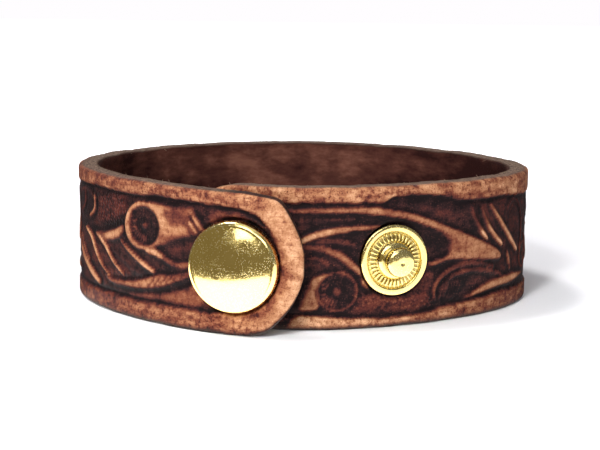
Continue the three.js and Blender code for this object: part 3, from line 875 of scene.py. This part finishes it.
def value_tools(add):
    """Two short ways to work with values: spread one range over another, and do a sum with two."""
    def spread(value, low, high, to_low, to_high):
        return add("ShaderNodeMapRange", {"Value": value, "From Min": low, "From Max": high,
                                          "To Min": to_low, "To Max": to_high}).outputs[0]

    def maths(kind, a, b):
        return add("ShaderNodeMath", {0: a, 1: b}, operation=kind).outputs[0]
    return spread, maths


def new_material(name):
    """An empty material, with its main shader and short ways to add and join nodes."""
    material = bpy.data.materials.new(name)
    material.use_nodes = True
    tree = material.node_tree
    tree.nodes.clear()
    out = tree.nodes.new("ShaderNodeOutputMaterial")
    shader = tree.nodes.new("ShaderNodeBsdfPrincipled")
    tree.links.new(shader.outputs[0], out.inputs[0])
    return material, shader, node_adder(tree), tree.links.new


def ramp_node(add, value, stops):
    """A colour ramp with the given (place, colour) stops."""
    node = add("ShaderNodeValToRGB", {"Fac": value})
    while len(node.color_ramp.elements) < len(stops):
        node.color_ramp.elements.new(1.0)
    for element, (position, tint) in zip(node.color_ramp.elements, stops):
        element.position = position
        element.color = tint
    return node.outputs["Color"]


print("dark stain as light values:", [round(c, 4) for c in colour(25, 19, 20)[:3]])


# %% Leather material
def leather_material():
    """Stained and wiped leather on the face, raw fibre on the cut edges, plain dye on the inner face."""
    material, shader, add, link = new_material("tooled_leather")
    spread, maths = value_tools(add)
    strip = add("ShaderNodeUVMap", uv_map="strip").outputs[0]
    tan_map = add("ShaderNodeAttribute", attribute_name="tan").outputs["Fac"]
    edge_map = add("ShaderNodeAttribute", attribute_name="cut_edge").outputs["Fac"]
    inner_map = add("ShaderNodeAttribute", attribute_name="inner_face").outputs["Fac"]
    stipple_map = add("ShaderNodeAttribute", attribute_name="stipple").outputs["Fac"]
    rail_map = add("ShaderNodeAttribute", attribute_name="rail").outputs["Fac"]

    def noise(scale, detail=4.0, rough=0.6, stretch=(1, 1, 1), shift=0.0):
        moved = add("ShaderNodeMapping", {"Vector": strip, "Scale": stretch, "Location": (shift, shift, 0)})
        return add("ShaderNodeTexNoise", {"Vector": moved.outputs[0], "Scale": scale, "Detail": detail,
                                          "Roughness": rough}).outputs["Fac"]

    # how unevenly the stain was wiped: broad patches, streaks along the strip, and grain
    patches = noise(3.4, 5, 0.66)
    streaks = noise(7, 4, 0.62, (0.55, 1.6, 1), 3.0)
    smears = noise(11, 3, 0.6, (1.25, 0.9, 1), 7.0)
    grain = noise(30, 3, 0.75)
    flecks = noise(46, 2, 0.6, shift=5.0)
    uneven = maths("ADD", spread(patches, 0.34, 0.66, -0.22, 0.1), spread(streaks, 0.34, 0.66, -0.17, 0.1))
    uneven = maths("ADD", uneven, spread(smears, 0.5, 0.66, 0.04, -0.2))
    broad = maths("MULTIPLY", uneven, spread(rail_map, 0.0, 1.0, 0.55, 1.0))
    fine = maths("MULTIPLY", spread(grain, 0.3, 0.7, -0.12, 0.1), spread(rail_map, 0.0, 1.0, 0.55, 0.7))
    stained = maths("ADD", tan_map, maths("ADD", broad, fine))
    pits = maths("MULTIPLY", spread(flecks, 0.41, 0.34, 0, 0.42), spread(rail_map, 0.0, 1.0, 0.35, 0.75))
    stained = maths("SUBTRACT", stained, pits)
    pebbles = add("ShaderNodeTexVoronoi", {"Vector": strip, "Scale": 24.0}).outputs["Distance"]
    pebble_tops = spread(pebbles, 0.1, 0.6, 1.0, 0.0)
    beaten = maths("MULTIPLY", maths("SUBTRACT", pebble_tops, 0.55), maths("MULTIPLY", stipple_map, 0.2))
    stained = maths("ADD", stained, beaten)
    speck = maths("MULTIPLY", spread(flecks, 0.64, 0.7, 0, 0.3), spread(tan_map, 0.2, 0.6, 1.0, 0.0))
    stained = maths("ADD", stained, speck)
    face = ramp_node(add, stained, [
        (0.0, colour(25, 19, 20)),
        (0.14, colour(48, 30, 30)),
        (0.32, colour(88, 44, 38)),
        (0.5, colour(122, 70, 50)),
        (0.72, colour(169, 118, 84)),
        (1.0, colour(219, 172, 134)),
    ])
    # the cut edge is darkest at the very front, where hands touch it most
    object_point = add("ShaderNodeSeparateXYZ", {0: add("ShaderNodeTexCoord").outputs["Object"]})
    across, back = object_point.outputs[0], object_point.outputs[1]
    handled = spread(back, -34 * MM, -27 * MM, -0.1, 0.02)
    edge = ramp_node(add, maths("ADD", noise(15, 5, 0.75, (0.6, 2.2, 1)), handled), [
        (0.3, colour(46, 38, 35)),
        (0.5, colour(104, 86, 76)),
        (0.7, colour(152, 128, 110)),
    ])
    # the inner face is darkened towards both sides, most on the right: painted shade over a random mottle in the dye
    right, left = spread(across, 4 * MM, 22 * MM, 0.03, -0.14), spread(across, -6 * MM, -22 * MM, 0.0, -0.07)
    painted_side_shade = maths("ADD", right, left)
    painted_light_and_tone = maths("ADD", noise(1.5, 5, 0.66, (0.7, 1.5, 1)), painted_side_shade)
    inner = ramp_node(add, painted_light_and_tone, [
        (0.34, colour(38, 20, 18)),
        (0.52, colour(72, 42, 35)),
        (0.68, colour(106, 68, 55)),
    ])
    with_edge = add("ShaderNodeMix", {"Factor": edge_map, 6: face, 7: edge}, data_type="RGBA").outputs[2]
    whole = add("ShaderNodeMix", {"Factor": inner_map, 6: with_edge, 7: inner}, data_type="RGBA").outputs[2]
    link(whole, shader.inputs["Base Color"])
    rough = maths("ADD", spread(tan_map, 0.0, 0.7, 0.4, 0.6), spread(grain, 0.3, 0.7, -0.08, 0.08))
    rough = maths("ADD", rough, spread(edge_map, 0, 1, 0, 0.3))
    link(rough, shader.inputs["Roughness"])
    off_face = maths("ADD", edge_map, inner_map)
    shine = maths("MULTIPLY", spread(flecks, 0.62, 0.7, 0.45, 1.0), spread(off_face, 0, 1, 1, 0.3))
    link(shine, shader.inputs["Specular IOR Level"])
    shader.inputs["IOR"].default_value = 1.12
    height = maths("ADD", maths("MULTIPLY", maths("MULTIPLY", pebble_tops, stipple_map), 1.3),
                   maths("MULTIPLY", grain, 0.6))
    height = maths("ADD", height, maths("MULTIPLY", noise(80, 2, 0.6), 0.35))
    fuzz = maths("MULTIPLY", noise(42, 4, 0.85, (0.6, 1.5, 1)), maths("MULTIPLY", edge_map, 2.6))
    height = maths("ADD", height, fuzz)
    bump = add("ShaderNodeBump", {"Height": height, "Strength": 0.6, "Distance": 0.13 * MM}).outputs[0]
    link(bump, shader.inputs["Normal"])
    return material


leather = leather_material()
strap.data.materials.append(leather)
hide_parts("strap")
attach(strap, "root")
print("leather nodes:", len(leather.node_tree.nodes))

# %% [markdown]
# A knife leaves the cut edge of veg-tanned leather a little furry. A few hundred short fibres are sown on the
# upper edge and the end by a node tree. They hardly show one by one, but they soften the outline.

# %% Helpers for growing a piece with nodes
def node_tree(name, inputs):
    """An empty geometry tree with named inputs, and a short way to add nodes."""
    tree = bpy.data.node_groups.new(name, "GeometryNodeTree")
    tree.interface.new_socket("Geometry", in_out="INPUT", socket_type="NodeSocketGeometry")
    for label, kind, value in inputs:
        socket = tree.interface.new_socket(label, in_out="INPUT", socket_type=kind)
        if value is not None:
            socket.default_value = value
    tree.interface.new_socket("Geometry", in_out="OUTPUT", socket_type="NodeSocketGeometry")
    entry = tree.nodes.new("NodeGroupInput")
    leave = tree.nodes.new("NodeGroupOutput")
    return tree, entry, leave, node_adder(tree)


def grown(name, tree, start_mesh, values, matrix=None):
    """Runs a node tree on a mesh and keeps the result as a plain mesh at the origin."""
    source = bpy.data.objects.new(name + "_source", start_mesh)
    bpy.context.collection.objects.link(source)
    modifier = source.modifiers.new("grow", "NODES")
    modifier.node_group = tree
    keys = {item.name: item.identifier for item in tree.interface.items_tree if item.in_out == "INPUT"}
    for label, value in values.items():
        modifier[keys[label]] = value
    graph = bpy.context.evaluated_depsgraph_get()
    result = source.evaluated_get(graph)
    mesh = bpy.data.meshes.new_from_object(result, preserve_all_data_layers=True, depsgraph=graph)
    source.modifiers.remove(modifier)
    bpy.data.objects.remove(source)
    bpy.data.meshes.remove(start_mesh)
    mesh.name = name
    if matrix is not None:
        mesh.transform(matrix)
    thing = bpy.data.objects.new(name, mesh)
    bpy.context.collection.objects.link(thing)
    return thing


def triangle_count(thing):
    """How many triangles an object's faces make."""
    return sum(len(face.vertices) - 2 for face in thing.data.polygons)


print("strap triangles:", triangle_count(strap))


# %% Fibres on the cut edge
FIBRE_SEED = 3


def fibre_tree():
    """Short bent fibres sown where the edge attribute is set, above a lowest height."""
    tree, entry, leave, add = node_tree("edge_fibres", [
        ("Density", "NodeSocketFloat", 420000.0),
        ("Thickness", "NodeSocketFloat", 0.022 * MM),
        ("Lowest", "NodeSocketFloat", 1.0 * MM),
        ("Seed", "NodeSocketInt", FIBRE_SEED),
        ("Material", "NodeSocketMaterial", None),
    ])
    edge = add("GeometryNodeInputNamedAttribute", {"Name": "cut_edge"}, data_type="FLOAT").outputs[0]
    on_edge = add("FunctionNodeCompare", {0: edge, 1: 0.9}, operation="GREATER_THAN").outputs[0]
    height = add("ShaderNodeSeparateXYZ", {0: add("GeometryNodeInputPosition").outputs[0]}).outputs[2]
    above = add("FunctionNodeCompare", {0: height, 1: entry.outputs["Lowest"]}, operation="GREATER_THAN").outputs[0]
    both = add("FunctionNodeBooleanMath", {0: on_edge, 1: above}, operation="AND").outputs[0]
    sown = add("GeometryNodeDistributePointsOnFaces", {
        "Mesh": entry.outputs["Geometry"], "Selection": both, "Density": entry.outputs["Density"],
        "Seed": entry.outputs["Seed"]})
    bend = add("GeometryNodeCurveQuadraticBezier", {
        "Resolution": 4, "Start": (0, 0, -0.06 * MM), "Middle": (0.08 * MM, 0, 0.2 * MM),
        "End": (0.36 * MM, 0.05 * MM, 0.26 * MM)}).outputs[0]
    profile = add("GeometryNodeCurvePrimitiveCircle", {"Resolution": 3, "Radius": entry.outputs["Thickness"]})
    fibre = add("GeometryNodeCurveToMesh", {"Curve": bend, "Profile Curve": profile.outputs[0],
                                            "Fill Caps": True}).outputs[0]
    spin = add("FunctionNodeRandomValue", {0: (-0.5, -0.5, -math.pi), 1: (0.5, 0.5, math.pi),
                                           "Seed": entry.outputs["Seed"]}, data_type="FLOAT_VECTOR").outputs[0]
    turned_by = add("FunctionNodeRotateRotation", {0: sown.outputs["Rotation"], 1: spin},
                    rotation_space="LOCAL").outputs[0]
    length = add("FunctionNodeRandomValue", {2: 0.3, 3: 1.2, "Seed": entry.outputs["Seed"]}).outputs[1]
    set_out = add("GeometryNodeInstanceOnPoints", {"Points": sown.outputs["Points"], "Instance": fibre,
                                                   "Rotation": turned_by, "Scale": length}).outputs[0]
    real = add("GeometryNodeRealizeInstances", {"Geometry": set_out}).outputs[0]
    done = add("GeometryNodeSetMaterial", {"Geometry": real, "Material": entry.outputs["Material"]}).outputs[0]
    tree.links.new(done, leave.inputs[0])
    return tree


def fibre_material():
    """Pale raw fibre, a little browner in places."""
    material, shader, add, link = new_material("raw_fibre")
    object_point = add("ShaderNodeTexCoord").outputs["Object"]
    patch = add("ShaderNodeTexNoise", {"Vector": object_point, "Scale": 500.0, "Detail": 2.0}).outputs["Fac"]
    link(ramp_node(add, patch, [(0.35, colour(70, 56, 48)), (0.65, colour(150, 124, 104))]),
         shader.inputs["Base Color"])
    shader.inputs["Roughness"].default_value = 0.9
    shader.inputs["Specular IOR Level"].default_value = 0.1
    return material


fibres = grown("edge_fibres", fibre_tree(), strap.data.copy(), {"Seed": FIBRE_SEED, "Material": fibre_material()})
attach(fibres, "root")
print("fibre triangles:", triangle_count(fibres))

# %% [markdown]
# The brass snap pieces are pressed and turned, so each is one outline spun round an axis. An outline in
# millimetres is easy to read against the photograph, and a spin gives round shapes with clean reflections.
# Only the pieces that show are made again here: the cap, the spare stud, and the two posts inside.

# %% Outlines, and where an axis stands
TURN_STEPS = 144


def smooth_outline(points, fineness=6):
    """Rounds an outline of (radius, height) points, keeping its ends."""
    return [tuple(p) for p in smooth_line(points, fineness=fineness)]


def axis_matrix(centre, seat, set_by=TRUE_SET):
    """Local Z points out of the strap, and Z = 0 lies at a depth below its face."""
    shift, rise, lean = set_by
    plan, outward = spot(np.array([centre + shift]), np.array([seat]))
    out = Matrix.Rotation(-lean, 3, "Z") @ Vector((outward[0][0], outward[0][1], 0))
    side = Vector((0, 0, 1)).cross(out)
    turn = Matrix((side, Vector((0, 0, 1)), out)).transposed().to_4x4()
    return Matrix.Translation((plan[0][0], plan[0][1], STRAP_WIDTH / 2 + rise)) @ turn


print("the cap faces, seen from above:", spot(np.array([CAP]))[1][0].round(2))


# %% Turning an outline
def turned(name, outline, matrix, material, grime_and_shade=None):
    """Spins an outline of (radius, height) in mm. It starts and ends on the axis, or closes on itself.
    The last argument is a function of (radius, height) that says where the metal is darkened: partly dirt, partly
    painted shade in its hollows."""
    closed_ring = outline[0][0] > 0
    turns = np.linspace(0, 2 * math.pi, TURN_STEPS, endpoint=False)
    work = bmesh.new()
    grime_and_shade_layer = work.verts.layers.float.new("grime_and_shade")
    columns = []
    for outline_radius, outline_height in outline:
        grime_and_shade_here = grime_and_shade(outline_radius, outline_height) if grime_and_shade else 0.0
        radius, height = outline_radius * MM, outline_height * MM
        if radius < 1e-9:
            columns.append([work.verts.new((0, 0, height))] * TURN_STEPS)
        else:
            columns.append([work.verts.new((radius * math.cos(a), radius * math.sin(a), height)) for a in turns])
        for vertex in columns[-1]:
            vertex[grime_and_shade_layer] = grime_and_shade_here
    pairs = list(zip(columns, columns[1:]))
    if closed_ring:
        pairs.append((columns[-1], columns[0]))
    for low, high in pairs:
        for k in range(TURN_STEPS):
            corners = [low[k], low[(k + 1) % TURN_STEPS], high[(k + 1) % TURN_STEPS], high[k]]
            unique = list(dict.fromkeys(corners))
            if len(unique) > 2:
                work.faces.new(unique)
    work.transform(matrix)
    mesh = bpy.data.meshes.new(name)
    work.to_mesh(mesh)
    work.free()
    mesh.polygons.foreach_set("use_smooth", np.ones(len(mesh.polygons), bool))
    mesh.materials.append(material)
    thing = bpy.data.objects.new(name, mesh)
    bpy.context.collection.objects.link(thing)
    face_out(thing)
    return thing


# %% [markdown]
# Brass. Polished brass is a mirror with a yellow tint, so it shows the room more than itself: the white sheet
# below, the dim room above. Handling leaves fine dust and tiny scratches, which catch the light as specks.

# %% Brass material
def brass_material():
    """Polished brass with dust on it, darkened where its darkening attribute is set: partly dirt, partly painted
    shade in hollows.
    """
    material, shader, add, link = new_material("polished_brass")
    spread, maths = value_tools(add)
    object_point = add("ShaderNodeTexCoord").outputs["Object"]
    grime_and_shade = add("ShaderNodeAttribute", attribute_name="grime_and_shade").outputs["Fac"]

    def noise(scale, detail, rough=0.6):
        return add("ShaderNodeTexNoise", {"Vector": object_point, "Scale": scale, "Detail": detail,
                                          "Roughness": rough}).outputs["Fac"]

    shader.inputs["Metallic"].default_value = 1.0
    # dust: small round specks, thicker in some places than in others
    cells = add("ShaderNodeTexVoronoi", {"Vector": object_point, "Scale": 5200.0})
    some = add("ShaderNodeSeparateColor", {0: cells.outputs["Color"]}).outputs[0]
    specks = maths("MULTIPLY", spread(cells.outputs["Distance"], 0.1, 0.36, 1.0, 0.0), spread(some, 0.0, 0.4, 0, 1))
    specks = maths("MULTIPLY", specks, spread(noise(260, 3), 0.35, 0.6, 0.3, 1.0))
    haze = noise(700, 4)
    clean = add("ShaderNodeMix", {"Factor": specks, 6: colour(242, 220, 142), 7: colour(250, 238, 196)},
                data_type="RGBA").outputs[2]
    # painted shade in hollows, partly dirt: the metal turns dark olive-brown where the attribute is set
    tint = add("ShaderNodeMix", {"Factor": grime_and_shade, 6: clean, 7: colour(66, 48, 14)}, data_type="RGBA").outputs[2]
    link(tint, shader.inputs["Base Color"])
    rough = maths("ADD", spread(haze, 0.35, 0.7, 0.09, 0.22), maths("MULTIPLY", specks, 0.3))
    rough = maths("ADD", rough, maths("MULTIPLY", grime_and_shade, 0.25))
    link(rough, shader.inputs["Roughness"])
    height = maths("ADD", maths("MULTIPLY", specks, 0.8), maths("MULTIPLY", noise(2400, 3, 0.7), 0.6))
    bump = add("ShaderNodeBump", {"Height": height, "Strength": 0.3, "Distance": 0.04 * MM}).outputs[0]
    link(bump, shader.inputs["Normal"])
    return material


brass = brass_material()
print("brass nodes:", len(brass.node_tree.nodes))

# %% [markdown]
# The cap is the part that shows: a shallow dome whose rim is rolled under, so that no sharp edge meets the
# leather. It was set by hand, a little low and leaning, and it keeps that here. The dome is drawn as a share of
# its own radius, so that its curve is even and it mirrors the sheet in one clean line.

# %% Cap
SEAT_GAP = 0.2 * MM
DOME_RADIUS = 5.2
DOME_FOOT = 2.0
DOME_RISE = 1.0


def cap_outline():
    """The cap: hollow barrel, flat underside, rolled rim, and a shallow dome set a hair inside the rim."""
    rim = smooth_outline([(5.5, 0.0), (5.9, 0.25), (6.1, 0.9), (5.96, 1.55), (5.6, 1.9), (5.34, 1.96)])
    crown = [(radius, DOME_FOOT + DOME_RISE * (1 - (radius / DOME_RADIUS) ** 2))
             for radius in np.linspace(DOME_RADIUS, 0, 24)]
    return [(0, -0.35), (0.8, -0.35), (0.8, -1.35), (1.15, -1.35), (1.15, 0.0)] + rim + crown


cap = turned("snap_cap_face", cap_outline(), axis_matrix(CAP, CAP_SEAT - SEAT_GAP, CAP_SET), brass)
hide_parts("snap_cap")
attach(cap, "root")
print("cap triangles:", triangle_count(cap))

# %% [markdown]
# The spare stud is the other half of a second snap, for a smaller wrist. Its flange is pressed with a ring of
# fine ribs, which grip the leather's face on a real one. The ribs repeat, so one rib is drawn and a node tree
# sets it round the flange: change the count and the whole ring follows.

# %% Spare stud
STUD_SEAT_GAP = STUD_SEAT - SEAT_GAP
RIB_COUNT = 36


def stud_outline():
    """From the axis behind, out round the flange, in over the ribbed cone and up to the ball."""
    flange = smooth_outline([(4.6, 0.0), (4.78, 0.12), (4.84, 0.32), (4.72, 0.52), (4.4, 0.6), (3.98, 0.58)], 4)
    groove = smooth_outline([(3.86, 0.52), (3.76, 0.36), (3.66, 0.34), (3.56, 0.44)], 4)
    cone = smooth_outline([(3.4, 0.4), (3.0, 0.44), (2.7, 0.52)], 3)
    ring = smooth_outline([(2.52, 0.78), (2.36, 1.0), (2.1, 1.14), (1.84, 1.2), (1.72, 1.34), (1.7, 1.54)], 4)
    ball = smooth_outline([(1.76, 1.8), (1.92, 2.08), (2.0, 2.36), (1.96, 2.64), (1.8, 2.9), (1.5, 3.06),
                           (1.0, 3.15), (0.55, 3.19), (0.3, 3.17), (0.12, 3.1)], 5)
    return [(0, 2.4), (1.35, 2.4), (1.35, 0.0)] + flange + groove + cone + ring + ball + [(0, 3.08)]


def stud_grime_and_shade(radius, height):
    """Darkens between the ribs, in the groove round them and at the foot of the ball: partly dirt, partly painted
    shade in these hollows.
    """
    between_ribs = 0.6 if 2.6 < radius < 3.5 and 0.2 < height < 0.7 else 0.0
    groove = 0.25 if 3.5 < radius < 3.8 and 0.2 < height < 0.7 else 0.0
    foot = 0.45 if 1.65 < radius < 1.9 and 1.15 < height < 1.9 else 0.0
    return max(between_ribs, groove, foot)


stud_matrix = axis_matrix(FAR_STUD, STUD_SEAT_GAP, SPARE_SET)
spare_stud = turned("spare_stud", stud_outline(), stud_matrix, brass, stud_grime_and_shade)
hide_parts("far_stud")
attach(spare_stud, "root")
print("spare stud triangles:", triangle_count(spare_stud))


# %% Ribs on the stud, set round by nodes
def rib_ring_tree():
    """One tapered half-round rib, repeated round the axis."""
    tree, entry, leave, add = node_tree("rib_ring", [
        ("Count", "NodeSocketInt", RIB_COUNT),
        ("Inner", "NodeSocketFloat", 2.62 * MM),
        ("Outer", "NodeSocketFloat", 3.68 * MM),
        ("Rise", "NodeSocketFloat", 0.16 * MM),
        ("Material", "NodeSocketMaterial", None),
    ])
    inner = add("ShaderNodeCombineXYZ", {0: entry.outputs["Inner"], 2: 0.7 * MM}).outputs[0]
    outer = add("ShaderNodeCombineXYZ", {0: entry.outputs["Outer"], 2: 0.46 * MM}).outputs[0]
    line = add("GeometryNodeCurvePrimitiveLine", {"Start": inner, "End": outer}).outputs[0]
    fine = add("GeometryNodeResampleCurve", {"Curve": line, "Count": 7}).outputs[0]
    share = add("GeometryNodeSplineParameter").outputs["Factor"]
    swell = add("ShaderNodeFloatCurve", {"Value": share})
    for position, height in ((0.12, 0.8), (0.8, 1.0)):
        swell.mapping.curves[0].points.new(position, height)
    swell.mapping.curves[0].points[0].location = (0.0, 0.3)
    swell.mapping.curves[0].points[-1].location = (1.0, 0.45)
    thick = add("ShaderNodeMath", {0: swell.outputs[0], 1: entry.outputs["Rise"]}, operation="MULTIPLY").outputs[0]
    shaped = add("GeometryNodeSetCurveRadius", {"Curve": fine, "Radius": thick}).outputs[0]
    profile = add("GeometryNodeCurvePrimitiveCircle", {"Resolution": 8, "Radius": 1.0}).outputs[0]
    rib = add("GeometryNodeCurveToMesh", {"Curve": shaped, "Profile Curve": profile, "Fill Caps": True,
                                          "Scale": thick}).outputs[0]
    points = add("GeometryNodePoints", {"Count": entry.outputs["Count"]}).outputs[0]
    number = add("GeometryNodeInputIndex").outputs[0]
    pitch = add("ShaderNodeMath", {0: 2 * math.pi, 1: entry.outputs["Count"]}, operation="DIVIDE").outputs[0]
    angle = add("ShaderNodeMath", {0: number, 1: pitch}, operation="MULTIPLY").outputs[0]
    turn = add("ShaderNodeCombineXYZ", {2: angle}).outputs[0]
    ring = add("GeometryNodeInstanceOnPoints", {"Points": points, "Instance": rib, "Rotation": turn}).outputs[0]
    real = add("GeometryNodeRealizeInstances", {"Geometry": ring}).outputs[0]
    done = add("GeometryNodeSetMaterial", {"Geometry": real, "Material": entry.outputs["Material"]}).outputs[0]
    tree.links.new(done, leave.inputs[0])
    return tree


ribs = grown("spare_stud_ribs", rib_ring_tree(), bpy.data.meshes.new("rib_start"),
             {"Count": RIB_COUNT, "Material": brass}, stud_matrix)
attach(ribs, "root")
print("rib triangles:", triangle_count(ribs))

# %% [markdown]
# Each stud needs a partner behind the leather. A post is a short eyelet: its barrel goes out through the hole
# and is spread in the stud, and its domed flange lies on the inner face, where the wrist would feel any edge.
# Both posts are the same piece, so one outline is turned twice.

# %% Posts on the inner face
def post_outline():
    """A flanged eyelet: its domed flange lies on the inner face and its barrel goes out through the leather."""
    flange = smooth_outline([(1.3, -0.72), (1.7, -0.9), (2.6, -0.86), (3.6, -0.66), (4.3, -0.36), (4.5, -0.12),
                             (4.36, 0.0)], 5)
    return [(0.8, 3.2), (0.8, -0.66), (0.95, -0.74)] + flange + [(1.15, 0.0), (1.15, 3.2)]


POST_BASE = POST_SEAT + SEAT_GAP
for number, (name, centre, set_by) in enumerate((("near_post", NEAR_STUD, TRUE_SET),
                                                 ("far_post", FAR_STUD, SPARE_SET)), 1):
    post = turned(f"set_post_{number}", post_outline(), axis_matrix(centre, POST_BASE, set_by), brass)
    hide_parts(name)
    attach(post, "root")
print("posts set at mm:", [round(float(c) / MM, 1) for c in (NEAR_STUD, FAR_STUD)])

# %% [markdown]
# The photograph was taken on a white sheet that is lit until it burns out, so the sheet keeps only a pale shadow,
# on the right. Paper under a lamp could do this, but then the far sheet would need a lamp of its own. Here the
# paper glows a little more the farther it lies from the bracelet, which gives the same even white.

# %% Glowing cards
scene = bpy.context.scene
scene.view_settings.view_transform = "Standard"
ALL_RAYS = ("camera", "diffuse", "glossy", "shadow")


def glowing_material(name, tint, strength):
    """A black card that gives off its own light."""
    material, shader, add, link = new_material(name)
    shader.inputs["Base Color"].default_value = colour(0, 0, 0)
    shader.inputs["Roughness"].default_value = 0.8
    shader.inputs["Specular IOR Level"].default_value = 0.0
    shader.inputs["Emission Color"].default_value = tint
    shader.inputs["Emission Strength"].default_value = strength
    return material


def card(name, corners, material, seen_by):
    """A flat card of the set, with its corners in mm, seen only by the kinds of ray that are named."""
    mesh = bpy.data.meshes.new(name)
    mesh.from_pydata([Vector(c) * MM for c in corners], [], [tuple(range(len(corners)))])
    mesh.materials.append(material)
    thing = bpy.data.objects.new(name, mesh)
    bpy.context.collection.objects.link(thing)
    for kind in ALL_RAYS:
        setattr(thing, "visible_" + kind, kind in seen_by)
    return thing


print("rays that a card may be seen by:", ALL_RAYS)

# %% Paper and backdrop
ROOM_REACH = 2900
WALL_FOOT = -10
WALL_TOP = 5000
GLOW_START = 70 * MM
GLOW_END = 260 * MM


def paper_material():
    """White paper whose far parts glow, as an overexposed sheet does."""
    material, shader, add, link = new_material("paper")
    shader.inputs["Base Color"].default_value = colour(248, 247, 250)
    shader.inputs["Roughness"].default_value = 0.9
    shader.inputs["Specular IOR Level"].default_value = 0.0
    reach = add("ShaderNodeVectorMath", {0: add("ShaderNodeTexCoord").outputs["Object"]}, operation="LENGTH")
    far = add("ShaderNodeMapRange", {"Value": reach.outputs["Value"], "From Min": GLOW_START, "From Max": GLOW_END,
                                     "To Min": 0.0, "To Max": 0.9}).outputs[0]
    shader.inputs["Emission Color"].default_value = colour(255, 253, 255)
    link(far, shader.inputs["Emission Strength"])
    return material


corners = [(-ROOM_REACH, -ROOM_REACH), (ROOM_REACH, -ROOM_REACH), (ROOM_REACH, ROOM_REACH), (-ROOM_REACH, ROOM_REACH)]
card("floor", [(*corner, 0) for corner in corners], paper_material(), ("camera", "diffuse", "shadow"))
backdrop = glowing_material("backdrop", colour(255, 253, 255), 1.0)
for name, start, end in (("back", 3, 2), ("front", 1, 0), ("right", 2, 1), ("left", 0, 3)):
    foot, top = ([(*corners[k], height) for k in (start, end)] for height in (WALL_FOOT, WALL_TOP))
    card("backdrop_" + name, foot + top[::-1], backdrop, ("camera",))
print("the paper is even white from mm:", round(GLOW_END / MM))

# %% [markdown]
# Polished brass needs something to reflect. In the photograph the cap's lower half mirrors the bright sheet in
# front of it, and its upper half the dark room beyond the sheet's edge. Three cards stand for them: a bright
# sheet, a dark floor that starts where the cap's reflection crosses its middle, and a dark wall behind that.
# Only reflections see these cards, so they neither show nor shade anything.

# %% Cards that the brass mirrors
CAP_FACING = math.radians(-19.2)
MIRROR_WAY = 2 * CAP_FACING
SHEET_EDGE = 19.0
SHEET_BRIGHT = (3.6, 2.0)


def bright_sheet_material():
    """The sheet as the brass sees it, brighter on the window's side."""
    material, shader, add, link = new_material("bright_sheet")
    shader.inputs["Base Color"].default_value = colour(0, 0, 0)
    shader.inputs["Specular IOR Level"].default_value = 0.0
    shader.inputs["Emission Color"].default_value = colour(255, 253, 250)
    across = add("ShaderNodeSeparateXYZ", {0: add("ShaderNodeTexCoord").outputs["Object"]}).outputs[0]
    strength = add("ShaderNodeMapRange", {"Value": across, "From Min": -10 * MM, "From Max": 30 * MM,
                                          "To Min": SHEET_BRIGHT[0], "To Max": SHEET_BRIGHT[1]}).outputs[0]
    link(strength, shader.inputs["Emission Strength"])
    return material


def across_from_cap(distance, side, height):
    """A place in mm, ahead of the cap along the way that its middle reflects, and to one side."""
    way = np.array([math.sin(MIRROR_WAY), -math.cos(MIRROR_WAY)])
    sideways = np.array([-way[1], way[0]])
    start = spot(np.array([CAP]), np.array([0.0]))[0][0] / MM
    return [*(start + way * distance + sideways * side), height]


card("sheet_reflection", [(-400, -900, 0.2), (400, -900, 0.2), (400, -8, 0.2), (-400, -8, 0.2)],
     bright_sheet_material(), ("glossy",))
dark_room = glowing_material("dark_room", colour(140, 128, 104), 0.8)
card("room_reflection", [across_from_cap(SHEET_EDGE, -500, 0.5), across_from_cap(SHEET_EDGE, 500, 0.5),
                         across_from_cap(900, 900, 0.5), across_from_cap(900, -900, 0.5)], dark_room, ("glossy",))
card("room_wall_reflection", [across_from_cap(900, -1800, -5), across_from_cap(900, 1800, -5),
                              across_from_cap(900, 1800, 900), across_from_cap(900, -1800, 900)], dark_room,
     ("glossy",))
print("the dark room starts at mm from the cap:", SHEET_EDGE)

# %% [markdown]
# Five area lights do the rest. A window light from the front left models the carving and throws the shadow to
# the right, a key from above it lifts the tan of the rails, a side light grazes the loop from the left, a broad
# one overhead fills the paper, and a weak strip near the lens opens the front. The window light isn't mirrored,
# because the photograph's brass shows no small bright spot where it would be.

# %% Light
def soft_light(name, azimuth, elevation, distance, size, watts, tall=1.0, mirrored=True):
    """A light card aimed at the bracelet; azimuth 0 is in front, positive towards +X."""
    data = bpy.data.lights.new(name, "AREA")
    data.shape = "RECTANGLE"
    data.size = size * MM
    data.size_y = size * tall * MM
    data.energy = watts
    light = bpy.data.objects.new(name, data)
    bpy.context.collection.objects.link(light)
    light.visible_glossy = mirrored
    a, e = math.radians(azimuth), math.radians(elevation)
    way = Vector((math.sin(a) * math.cos(e), -math.cos(a) * math.cos(e), math.sin(e)))
    light.matrix_world = Matrix.Translation(way * distance * MM) @ way.to_track_quat("Z", "Y").to_matrix().to_4x4()
    return light


soft_light("key", -14, 48, 600, 220, 0.5)
soft_light("side", -96, 68, 600, 120, 1.8)
soft_light("window", -20, 33, 500, 70, 1.5, mirrored=False)
soft_light("overhead", 8, 80, 700, 600, 0.55)
soft_light("front_fill", -2, 31, 230, 190, 0.17, 0.35)

# %% Dim light from all round
world = bpy.data.worlds.new("room")
world.use_nodes = True
world.node_tree.nodes["Background"].inputs["Color"].default_value = colour(250, 248, 252)
world.node_tree.nodes["Background"].inputs["Strength"].default_value = 0.21
scene.world = world
print("light from all round:", world.node_tree.nodes["Background"].inputs["Strength"].default_value)

# %% [markdown]
# Two brass pieces stay as the construction has them, because they hide between the layers of the lap: the
# socket that grips the stud's ball, and the stud itself. They only need the same brass as the rest.

# %% Brass on the hidden pieces
for name in ("snap_socket", "near_stud"):
    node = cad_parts[name]
    node.data.materials.clear()
    node.data.materials.append(brass)
    print(name, "wears", node.data.materials[0].name)
